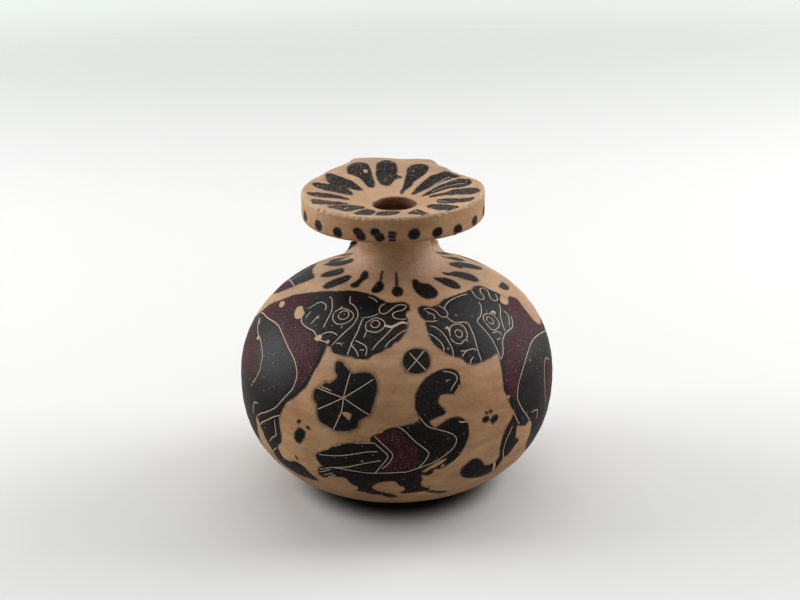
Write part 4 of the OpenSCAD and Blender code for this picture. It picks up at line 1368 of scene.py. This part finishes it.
bird = {
    "outline": [
        (-17, -5.6), (-16.3, -4.8), (-14.8, -3.9), (-13.3, -2.9), (-12.1, -2.1), (-10.2, -1.5),
        (-7.5, -1), (-5.2, -0.8), (-5.2, 0.3), (-4.5, 0.8), (-2.9, 1.3), (-2.2, 2), (-0.8, 2.4),
        (0.6, 2.6), (3.1, 3), (4.4, 3.9), (4.2, 4.9), (3.7, 6.2), (3.8, 8.1), (4.2, 9.3), (5.2, 10.8),
        (6.6, 11.9), (8.2, 12.6), (9.4, 12.9), (11.6, 13), (13, 12.5), (13.6, 11.5), (13.5, 10.3),
        (13.2, 9.2), (12.1, 8.2), (9.4, 8.3), (8.5, 7.9), (8.2, 7), (8.8, 5.9), (9.6, 4.8), (9.1, 4.2),
        (7.5, 3.8), (6.3, 3.4), (6.3, 3.4), (6.6, 2.5), (7.4, 1.9), (8.5, 2.4), (9.8, 3.1), (11.6, 3.4),
        (12.9, 3.1), (13.8, 2.1), (14.3, 0.9), (14.3, -1), (13.8, -2.6), (12.9, -4.2), (11.6, -5.8),
        (10.1, -6.9), (8.7, -7.6), (7.2, -7.6), (7, -8.6), (6.2, -9.1), (4.9, -8.8), (4.7, -9.4),
        (5, -10), (4.7, -11.1), (5, -12.2), (6, -13), (6.9, -13.6), (6.3, -14.4), (3.1, -14.9),
        (0.9, -14.9), (0.6, -14.1), (1.4, -13.5), (1.3, -12.7), (0.3, -11.9), (0, -11.4), (-0.5, -10.4),
        (-2.2, -10.4), (-3.9, -10.8), (-5, -11.5), (-5.7, -12.4), (-5.6, -13.1), (-4.5, -14),
        (-3.1, -14.8), (-1.2, -15.7), (-0.3, -16.5), (-0.6, -17.1), (-1.8, -17.1), (-3.1, -16.5),
        (-4.3, -15.9), (-6.4, -15.7), (-7.7, -15.1), (-9.6, -14.8), (-9.1, -14.2), (-9, -13.1),
        (-10, -12.3), (-10.6, -11.5), (-11.2, -10.4), (-13.3, -10.4), (-14.6, -10.7), (-16.7, -11.5),
        (-17.7, -10.7), (-17.5, -9.9), (-17.3, -9.2), (-16.7, -8.5), (-15.9, -8.1), (-16.3, -7.7),
        (-16.7, -6.9)],
    "lines": [
        [(-16.3, -5.1), (-13.1, -4.7), (-10.2, -4.1), (-7.3, -3.3), (-5.6, -2.9), (-3.7, -2.8)],
        [(-13.3, -7.7), (-10.6, -7.1), (-8.1, -6.2), (-5.6, -5.4), (-3.3, -4.8)],
        [(-12.7, -2.5), (-10, -1.3), (-7.3, -1.1), (-4.3, -0.9)],
        [(-15, -8.3), (-13.5, -7.8), (-10.2, -7.8), (-6.4, -8.1), (-3.1, -8), (0.9, -7.8), (1.9, -7.7),
         (4.1, -6.9), (6.9, -5.9), (9.1, -4.7), (11, -3.2), (11.8, -1.5), (11.3, -0.4), (10.1, 0.5),
         (8.2, 1.3), (6, 2.3), (4.4, 4.4)],
        [(-4.5, 0.7), (-3.1, -0.8), (-1.8, -2.2), (-1, -3.2), (-1.1, -4.3), (-2.2, -6), (-3.3, -7)],
        [(-4.3, -1.1), (-3.1, -2.2), (-2, -3.5), (-2, -4.3), (-3.3, -6.2), (-4.5, -7.9)],
        [(0, 2.5), (0.6, 2.4), (1.9, 1.2), (3.5, -0.7), (5, -2.1), (6, -3.2), (6.1, -4), (5.3, -5.4),
         (4.1, -6.9)],
        [(-17.4, -10.1), (-15.9, -9.4), (-14.2, -8.5)],
        [(-16.5, -10.9), (-15.2, -10), (-13.8, -9.4)],
        [(-15.6, -11.2), (-14.6, -10.4), (-13.3, -9.8)],
        [(-17.1, -9.2), (-14.8, -8.3)],
        [(10.1, 12.7), (11.6, 12.3), (12.7, 11.7), (13, 10.8), (12.1, 9.8), (11.3, 9), (11, 8.5)],
        [(13.3, 9.5), (12.6, 8.7), (11.9, 8.2)],
        [(10.3, 10.5), (10.9, 10.9), (11.5, 10.8)],
        ([(12.2, 2.4), (13.7, 2)], 0.3)],
    "purple": [
        [(-0.6, -3.2), (-0.7, -4.4), (-1.8, -6.2), (-2.8, -7.5), (0.9, -7.4), (3, -7), (3.9, -6),
         (4.3, -4.2), (4.1, -2.6), (3.2, -1.3), (2, 0.1), (1.2, 1), (0.2, 1.9), (-2, 1.4), (-4.2, 0.4),
         (-2.8, -0.7), (-1.4, -2.2)]],
    "chips": [
        [(4.9, -7.8), (6.6, -6.6), (7.8, -5.9), (9, -5.4), (9.9, -5.3), (9.1, -6.1), (7.9, -6.9), (6.7, -7.4),
         (5.6, -8.1)], [(8.6, -7), (9.4, -6.6), (9.5, -7), (9, -7.3)],
        oval((-7, -5.2), 0.3, 0.2)],
}
largeRosette = {
    "halo": 0.95,
    "wash": wideWash,
    "outline": [
        (-13.5, 14.4), (-12.9, 14.8), (-12.1, 14.6), (-11.4, 13.9), (-10.4, 13.2), (-9.8, 12.9),
        (-9.3, 12.6), (-8, 12.9), (-6.4, 13), (-5.2, 12.8), (-4.6, 12.3), (-4.1, 11.2), (-3.9, 9.8),
        (-4.2, 8.4), (-4.7, 6.7), (-5.2, 5.2), (-6.4, 4.3), (-7.5, 3.5), (-7.8, 2.3), (-9, 1.5),
        (-10.4, 1.1), (-12.1, 1), (-13.6, 1.6), (-15.2, 2.3), (-15.9, 3.3), (-16.2, 4.7), (-16.4, 5.7),
        (-17.1, 6.7), (-17.3, 7.9), (-17.1, 8.6), (-16, 9.2), (-15, 10.1), (-14.1, 10.1),
        (-13.3, 10.7), (-12.6, 11.7), (-13.3, 12.7), (-13.5, 13.7)],
    "lines": [
        [(-10.7, 7.8), (-9.8, 12.8)],
        [(-10.7, 7.8), (-4.7, 11.8)],
        [(-10.7, 7.8), (-5.3, 4.9)],
        [(-10.7, 7.8), (-11, 5), (-12.6, 1.2)],
        [(-10.7, 7.8), (-16.2, 4.7)],
        [(-10.7, 7.8), (-17, 9)],
        [(-16, 9.2), (-14.6, 9.1), (-13.3, 8.7)]],
    "chips": [[(-10.9, 4.8), (-10, 5.1), (-9, 4.8), (-9, 4.2), (-9.4, 3.5), (-10, 4)]],
}


def paintForm(name, form):
    layPaint(name, [form["outline"]], globeSurface, globeStretch, form["lines"], form.get("purple", ()),
             form.get("chips", ()), halo=form.get("halo"), wash=form.get("wash"))


def runAtRadius(radius):
    # v of a place on the shoulder or the flare, from its distance to the axis
    return float(np.interp(-radius, -outside[len(lowerCurve) - 1:-len(neckCurve), 0],
                           outsideRun[len(lowerCurve) - 1:-len(neckCurve)]))


def shoulderTongue(azimuth, inner, outer, width, lean=0.0):
    # A drop that points to the neck: (share of the length, share of the half width)
    shape = [(0, 0.10), (0.12, 0.30), (0.35, 0.62), (0.62, 0.95), (0.82, 1.0), (0.95, 0.62), (1, 0)]
    length = outer - inner
    loop = []
    for share, half in shape + [(s, -h) for s, h in reversed(shape[:-1])]:
        radius = inner + share * length
        u = math.radians(azimuth + lean * (share - 0.5)) * globe["radius"] \
            + half * width / 2 * globe["radius"] / radius
        loop.append((u, runAtRadius(radius)))
    return loop


paintForm("feline_left", leftFeline)
paintForm("feline_right", rightFeline)
paintForm("leaf_left", leafLeft)
paintForm("leaf_right", leafRight)
paintForm("water_bird", bird)
paintForm("rosette_large", largeRosette)
layPaint("feline_paw", [felinePaw], globeSurface, globeStretch)
smallRosette = (4.7, 15.25)
layPaint("rosette_small", [oval(smallRosette, 3.15, 2.5, 4, 14)], globeSurface, globeStretch,
         [[(1.9, 12.9), (4.4, 15.1), (6.6, 17.1)], [(3.2, 17), (4.6, 15.4), (6.6, 13.1)]],
         halo=0.95, wash=wideWash)
print("figures painted")

layPaint("dots_left", [
    [(-21.8, -3), (-21.4, -1.2), (-20.3, -0.2), (-19, -0.8), (-19.6, -2.2), (-20.7, -3.5)],
    oval((-20.5, 1.2), 0.55, 0.35, 30), oval((-18.3, 0.4), 0.5, 0.35, -20),
    oval((-22.5, -7.8), 0.3, 0.6, 10)], globeSurface, globeStretch)
layPaint("dots_right", [
    oval((18.3, 1.5), 0.8, 0.65), oval((20.4, 1), 1.0, 0.75, 25), oval((18.5, 2.9), 0.3, 0.25),
    oval((19.5, 2.9), 0.32, 0.3)], globeSurface, globeStretch)
layPaint("toe_streak", [[(6, -14.0), (8.5, -15), (10.7, -15.9), (11.9, -16.1), (10.4, -16.5),
                         (8, -15.6), (6.2, -14.7)]], globeSurface, globeStretch)


def planToGlobe(x, y):
    # (u, v) of a place seen from above
    return (math.atan2(x, -y) * globe["radius"], runAtRadius(math.hypot(x, y)))


# Tongues on the shoulder, seen from above; the last ones are behind, where the photo doesn't reach
shoulderLoops = [
    [(-0.5, -13.7), (-0.1, -12.7), (0.5, -12.2), (1.2, -12.6), (1.7, -13.6), (1.5, -14.8), (0.6, -15.4),
     (-0.3, -14.9)],
    [(0.2, -9.2), (0.45, -9.2), (0.7, -12.1), (0.35, -12.1)],
    [(-2.9, -10.5), (-2.2, -11.6), (-2.3, -13), (-3.2, -14), (-4.3, -13.9), (-4.6, -12.8), (-3.9, -11.4)],
    [(-2.6, -8.6), (-2.35, -8.7), (-2.6, -10.4), (-2.9, -10.4)],
    [(-6.3, -7.2), (-5.5, -7.6), (-5.4, -8.9), (-6.2, -9.5), (-6.9, -10.4), (-7.3, -11.2), (-8.4, -11.2),
     (-8.8, -10), (-7.8, -9.2), (-7, -8.6)],
    [(-9, -6.6), (-10, -6), (-12, -6.1), (-13.8, -6.9), (-14.5, -8.2), (-13.4, -9.3), (-11.4, -9.1),
     (-9.6, -8.4), (-8.8, -7.4)],
    [(-11, -2.1), (-12.4, -1.5), (-14.4, -1.5), (-15.2, -2.6), (-14.4, -3.8), (-12.6, -4.4),
     (-10.8, -4.6), (-10.4, -3.6)],
    [(-8.4, -2.2), (-9.8, -1.2), (-11.8, 0.4), (-13.8, 2.6), (-14.6, 4.4), (-13.2, 5), (-11.6, 3.6),
     (-10.2, 2), (-9, 0)],
    [(3.7, -10.1), (4.6, -10.1), (5, -10.7), (6.6, -10.7), (8, -11.8), (8.6, -13), (8.3, -14.4),
     (7.2, -15.2), (5.8, -15.3), (4.6, -14.3), (3.8, -12.8), (3.6, -11.2)],
    [(7.9, -8.4), (8.8, -7.9), (10.2, -7.3), (11.8, -7.6), (13.1, -8.8), (13.3, -10), (12.2, -10.7),
     (10.6, -10.4), (9, -9.3)],
    [(9.8, -5.4), (11.4, -4.6), (12.6, -3.4), (14.6, -2.8), (16.4, -3), (17.2, -4.2), (16.6, -5.6),
     (14.6, -6), (12.4, -5.7), (10.4, -6)],
    [(11.4, -0.4), (12, 1.4), (13.4, 3.2), (15.2, 4), (17, 4.6), (18.4, 4.2), (18, 2.4), (16.4, 1),
     (14.4, 0.2), (13.8, -0.8), (12.8, -0.8)]]
tongueRows = [(-132, 10.2, 15.4, 2.3), (113, 10.4, 16, 2.6), (131, 10.6, 15.6, 2.3), (-115, 9.8, 15.2, 2.2)]
layPaint("shoulder_tongues", [shoulderTongue(*row) for row in tongueRows]
         + [[planToGlobe(*p) for p in loop] for loop in shoulderLoops], globeSurface, globeStretch,
         halo=0.32)
layPaint("shoulder_spot", [[(46.8, 23.7), (48.6, 23.9), (52.6, 23.2), (53, 22), (51, 21.5), (48, 22.3)]],
         globeSurface, globeStretch, halo=0.3)
layPaint("neck_crack", [[(21.2, 43.4), (18, 42.5), (16.5, 41.4), (17, 39.8), (20, 38.9), (20.1, 38.95),
                         (17.25, 39.9), (16.75, 41.4), (18.2, 42.43), (21.3, 43.36)]],
         globeSurface, globeStretch, paint=darkBrownClay, halo=0)

# Tongues on top of the mouth, seen from above
mouthLoops = [
    [(-3.4, -10.2), (-2.9, -6.9), (-1.5, -5.5), (-0.2, -5.4), (1, -5.6), (1.3, -6.9), (0.7, -9.6),
     (-0.6, -11.8), (-2.1, -12.4), (-3.1, -12.2)],
    [(3, -9), (3.7, -6.8), (4.7, -5.5), (5.5, -7), (6.2, -10.4), (6.8, -16.7), (6.5, -17.1),
     (5.4, -17.3), (4.2, -12.7), (3.3, -11.2)],
    [(6.7, -4.1), (7.5, -3.3), (8.8, -4.1), (10.5, -6.5), (11.9, -10), (12.9, -13.1), (12.4, -14.2),
     (11.1, -15), (9.4, -13.5), (8, -8.3), (7, -5.6)],
    [(8.9, -0.8), (10, -0.8), (11.5, -2), (13, -3.8), (14.5, -5.5), (16.2, -7.3), (15.6, -9.3),
     (14.5, -9.7), (13, -7.8), (11.7, -6.6), (10.4, -4.9), (9.2, -3)],
    [(7.4, 2.4), (9.2, 3), (10.4, 2.9), (12.4, 3.5), (14, 2.7), (15.8, 1.5), (17, -0.2), (17.5, -2.4),
     (17.1, -3.7), (15.9, -3.7), (14.6, -2.2), (13, -0.6), (11, 0.8), (9.6, 1.6), (8.2, 1.4)],
    [(5.8, 3.1), (7.6, 5.3), (9.4, 7.2), (11.6, 8.7), (13.7, 9.3), (15.5, 7.7), (16.3, 5.5), (15.6, 3.6),
     (13.6, 4), (11.8, 4.9), (10, 4.7), (8, 3.7)],
    [(3.9, 4.8), (4.7, 7), (5.8, 9.2), (7, 11), (8.4, 12.4), (11.2, 13.2), (13.1, 11.5), (13.9, 10.3),
     (11.7, 9.9), (9.4, 8.8), (7.6, 7.2), (5.6, 5.5), (4.6, 4.6)],
    [(3, 13.9), (3.2, 15.8), (4.7, 16.8), (6.3, 16.9), (7.5, 16.1), (7.7, 14.9), (7, 13.4), (5.8, 11.9),
     (4.5, 10.3), (3.5, 8.1), (2.6, 7), (1.8, 5.4), (1.7, 6.8), (2.2, 8.5), (2.4, 10.5), (2.7, 12.3)],
    [(-3.5, 16.4), (-3, 18.3), (-1.5, 20.2), (-0.1, 19.5), (0.7, 16.9), (1, 14.9), (0.9, 13.5),
     (1.9, 12.3), (1.1, 12), (0.2, 11), (-0.6, 9.3), (-1.4, 9), (-2.5, 9.7), (-3.3, 11.9), (-3.6, 14.4)],
    [(-9.7, 13.5), (-9.5, 16.2), (-8.2, 18.4), (-6.3, 18.2), (-5.1, 16.3), (-4.6, 14.4), (-4.2, 11.8),
     (-3.9, 9.6), (-4.2, 8), (-5.2, 8.2), (-6.2, 10.4), (-7.3, 12), (-8.7, 12.5), (-9.5, 12.7)],
    [(-8.6, 3.3), (-10.8, 3.4), (-13, 3.4), (-15.4, 3.4), (-16.6, 4.7), (-15.6, 6.3), (-13.2, 6.9),
     (-13.8, 8.2), (-14, 10.6), (-12.9, 11.4), (-10.6, 10.9), (-8.6, 10), (-7, 8), (-6.4, 6.4),
     (-8, 6.3), (-9.6, 6.5), (-8.6, 5.1)],
    [(-8.8, 0.3), (-9.6, 1.5), (-11.6, 2), (-14, 1.5), (-16.1, 0.3), (-17.4, -1.1), (-16.9, -2.3),
     (-15.5, -2.2), (-13.7, -1.2), (-11.6, -0.2), (-10, 0.1)],
    [(-9.2, -2.2), (-11, -2.2), (-13.1, -3.1), (-15.1, -4.1), (-16.3, -5.5), (-15.6, -9.1), (-14, -7.4),
     (-12.8, -6.6), (-11.3, -5), (-10, -3.6)],
    [(-12.8, -9.6), (-12.5, -7.5), (-11.3, -5.7), (-9.4, -3.6), (-7.6, -2.9), (-5.8, -3.1), (-6, -4.7),
     (-7.5, -6.7), (-8.7, -10), (-10, -10.6), (-11.6, -9.7)],
    [(-7.7, -11.1), (-6.6, -7.3), (-5.3, -5), (-4, -5), (-3.6, -7.1), (-4, -10), (-5.2, -13.8),
     (-6.6, -14.4), (-7.4, -13.7)]]
mouthScratches = [
    [(4.3, -6.9), (4.6, -8.3), (4.7, -8.7)],
    [(9.2, -1.4), (10, -2.8), (11.2, -4.3)],
    [(7.8, 4.5), (10, 6.1), (12.7, 6.7), (15.1, 5.4)],
    [(-8.7, -5.2), (-9.5, -6.9), (-9.6, -8.3)],
    [(7.4, 6.8), (9.4, 9.1), (11.6, 10.9)]]
layPaint("mouth_tongues", mouthLoops, mouthSurface, flatStretch, mouthScratches,
         chips=[oval((-5.8, 14.5), 0.5, 0.7)], paint=wornSlip, halo=0.35, width=0.15, cell=0.5)


# The strap, whose back the photo doesn't show: black edges and a ladder of bars between them

def strapBand(start, end, low, high):
    rows = np.linspace(low, high, 9)
    return [(start, z) for z in rows] + [(end, z) for z in rows[::-1]]


def strapBar(z):
    # Bowed up in its middle
    half, height, bow = 4.3, 1.0, 0.35
    low = [(-half, z), (-2, z + bow), (2, z + bow), (half, z)]
    return low + [(x, y + height) for x, y in reversed(low)]


strapLoops = [strapBand(5.6, 10.6, 43.4, 60.4), strapBand(-5.6, -13.6, 43.2, 59.6)]
strapLoops += [strapBar(z) for z in (46.4, 49.4, 52.4, 55.4, 58.4)]
layPaint("strap_bands", strapLoops, strapSurface, flatStretch,
         [[(6.8, 45.6), (6.8, 52), (6.8, 60.2)], [(-6.8, 44.8), (-6.8, 52), (-6.8, 59.4)]], cell=0.5)
footLoops = [
    [(-5.4, 4.2), (-8, 4.25), (-12, 4.25), (-16.8, 4.2), (-16.2, 3.0), (-15.4, 2.0), (-14.8, 1.0),
     (-14.4, 0.3), (-12, 0.4), (-8, 0.8), (-5.2, 1.2)],
    [(5.4, 4.2), (7.4, 4.25), (10, 4.25), (12.9, 4.2), (13.4, 2.6), (13.2, 1.2), (11, 0.8), (8, 0.8),
     (5.2, 1.2)]]
layPaint("strap_foot_bands", footLoops, footSurface, flatStretch, halo=0.35, cell=0.4)

# Dots on the rim: (degrees round from the front, height)
rimRows = [(-72, 60.4), (-53, 60.2), (-36.5, 60.0), (-22.5, 60.7), (-20.5, 59.9), (-11.5, 60.9), (-9, 59.9),
           (11.5, 60.3), (26.5, 60.1), (42, 59.6), (59, 60.0), (77, 60.3)]
dots = []


def addDot(azimuth, z, halfWidth, halfHeight, lean):
    u = math.radians(azimuth) * mouth["radius"]
    dots.append(oval((u, z), halfWidth, halfHeight, dice.uniform(-lean, lean), 8))


for azimuth, z in rimRows:
    size = 0.95 if -25 < azimuth < 0 else 1.15    # the doubled ones are smaller
    addDot(azimuth + 0.8, z, size, size * 0.9, 20)
for z in (60.8, 60.0, 59.3):
    addDot(-0.8, z, 0.75, 0.28, 12)
for azimuth in (-88, -104, -120, -136, 94, 110, 126, 140):
    addDot(azimuth, 60.3 + dice.uniform(-0.3, 0.3), 1.15, 1.0, 20)
layPaint("rim_dots", dots, rimSurface, flatStretch, halo=0.3)
print("tongues and dots painted")


# Studio: a pale floor, a large soft lamp over and behind the flask, a panel at each side and a weak one in
# front

paper = {
    "radius": 900,
    "level": -0.02,
    "bounce": "#aeaba6",    # it throws little light back up at the flask, as in the photo,
    "shown": "#dcdcdb",     # though it looks pale
    "fadeFrom": 220,        # distance from the flask where it starts to fade into the air
    "fadeTo": 750,
    "paintedShadowFrom": 15.5,       # radius of the painted shadow, darkened into the paper's colour where the globe nearly meets it
    "paintedShadowTo": 24.5,
    "paintedShadowLevel": 0.03,
    "paintedShadowAhead": 1.0,       # its middle lies this far in front of the axis
}
view = {
    "lens": 65,
    "sensor": 36,
    "place": (1.04, -282.97, 147.36),
    "target": (1.04, 0, 39.87),
    "roll": -1.06,
}


def makeFloor():
    material, tree = newMaterial("paintedPaperFloor")
    place = addNode(tree, "TexCoord").outputs["Object"]
    far = addNode(tree, "VectorMath", {"operation": "LENGTH"}, {0: place})
    fade = addNode(tree, "MapRange", {"interpolation_type": "SMOOTHSTEP"}, {
        "Value": far.outputs["Value"], "From Min": paper["fadeFrom"] * mm,
        "From Max": paper["fadeTo"] * mm})
    ray = addNode(tree, "LightPath")
    shade = addNode(tree, "Mix", {"data_type": "RGBA"}, {
        0: ray.outputs["Is Camera Ray"], 6: linearColour(paper["bounce"]), 7: linearColour(paper["shown"])})
    # Painted shadow: the paper's colour is darkened round the foot, its middle a little in front of the axis
    ahead = addNode(tree, "VectorMath", {"operation": "ADD"}, {0: place, 1: (0, paper["paintedShadowAhead"] * mm, 0)})
    near = addNode(tree, "VectorMath", {"operation": "LENGTH"}, {0: ahead.outputs["Vector"]})
    deep = addNode(tree, "MapRange", {"interpolation_type": "SMOOTHSTEP"}, {
        "Value": near.outputs["Value"], "From Min": paper["paintedShadowFrom"] * mm,
        "From Max": paper["paintedShadowTo"] * mm, "To Min": paper["paintedShadowLevel"]})
    shaded = addNode(tree, "Mix", {"data_type": "RGBA", "blend_type": "MULTIPLY"}, {
        0: 1.0, 6: shade.outputs[2], 7: deep.outputs["Result"]})
    matt = addNode(tree, "BsdfDiffuse", None, {"Color": shaded.outputs[2]})
    clear = addNode(tree, "BsdfTransparent")
    mixed = addNode(tree, "MixShader", None, {
        0: fade.outputs["Result"], 1: matt.outputs[0], 2: clear.outputs[0]})
    addNode(tree, "OutputMaterial", None, {"Surface": mixed.outputs[0]})
    around = 64
    turns = 2 * math.pi * np.arange(around) / around
    ring = np.stack([paper["radius"] * np.cos(turns), paper["radius"] * np.sin(turns), 0 * turns], 1)
    points = np.concatenate([[(0, 0, 0)], ring]) + (0, 0, paper["level"])
    faces = [(0, 1 + i, 1 + (i + 1) % around) for i in range(around)]
    floor = makeObject("paper_floor", points, faces, material, False)


def makeLamp(name, place, target, width, height, power):
    lamp = bpy.data.lights.new(name, "AREA")
    lamp.shape = "RECTANGLE"
    lamp.size = width
    lamp.size_y = height
    lamp.energy = power
    holder = bpy.data.objects.new(name, lamp)
    bpy.context.scene.collection.objects.link(holder)
    holder.location = place
    holder.rotation_euler = (Vector(target) - Vector(place)).to_track_quat("-Z", "Y").to_euler()


def makeWorld(ambient, shown, mirrorShare):
    world = bpy.data.worlds.new("studioAir")
    bpy.context.scene.world = world
    world.use_nodes = True
    tree = world.node_tree
    tree.nodes.clear()
    ray = addNode(tree, "LightPath")
    straight = addNode(tree, "Math", {"operation": "MAXIMUM"}, {
        0: ray.outputs["Is Camera Ray"], 1: ray.outputs["Is Transmission Ray"]})
    # The tent is dimmer where the clay and slip mirror it
    mirrored = addNode(tree, "Math", {"operation": "MULTIPLY"}, {
        0: ray.outputs["Is Glossy Ray"], 1: mirrorShare})
    seen = addNode(tree, "Math", {"operation": "MAXIMUM"}, {0: straight.outputs[0], 1: mirrored.outputs[0]})
    soft = addNode(tree, "Background", None, {"Color": linearColour("#f4f6f8"), "Strength": ambient})
    pale = addNode(tree, "Background", None, {"Color": linearColour(shown), "Strength": 1.0})
    mixed = addNode(tree, "MixShader", None, {0: seen.outputs[0], 1: soft.outputs[0], 2: pale.outputs[0]})
    addNode(tree, "OutputWorld", None, {"Surface": mixed.outputs[0]})


def makeCamera():
    # The photo's view: a 65 mm lens 303 mm away, 20.8 degrees above the level
    camera = bpy.data.cameras.new("camera")
    camera.lens = view["lens"]
    camera.sensor_width = view["sensor"]
    camera.clip_start = 0.01
    holder = bpy.data.objects.new("camera", camera)
    bpy.context.scene.collection.objects.link(holder)
    place = Vector(view["place"]) * mm
    target = Vector(view["target"]) * mm
    aim = (target - place).to_track_quat("-Z", "Y").to_matrix().to_4x4()
    roll = Matrix.Rotation(math.radians(view["roll"]), 4, "Z")
    holder.matrix_world = Matrix.Translation(place) @ aim @ roll
    bpy.context.scene.camera = holder


makeFloor()
makeWorld(0.18, "#f2f8f3", 0.6)
# Lamps in metres and watts: place, aim, width, height, power
makeLamp("top_box", (0.0, 0.22, 0.60), (0, 0, 0.04), 0.70, 0.50, 2.05)
makeLamp("left_box", (-0.56, 0.12, 0.26), (0, 0, 0.03), 0.40, 0.50, 3.6)
makeLamp("right_box", (0.52, 0.16, 0.32), (0, 0, 0.03), 0.40, 0.50, 3.4)
makeLamp("front_box", (0.06, -0.62, 0.52), (0, 0, 0.03), 0.60, 0.40, 0.55)
makeCamera()
bpy.context.scene.view_settings.view_transform = "Standard"
print("studio made")
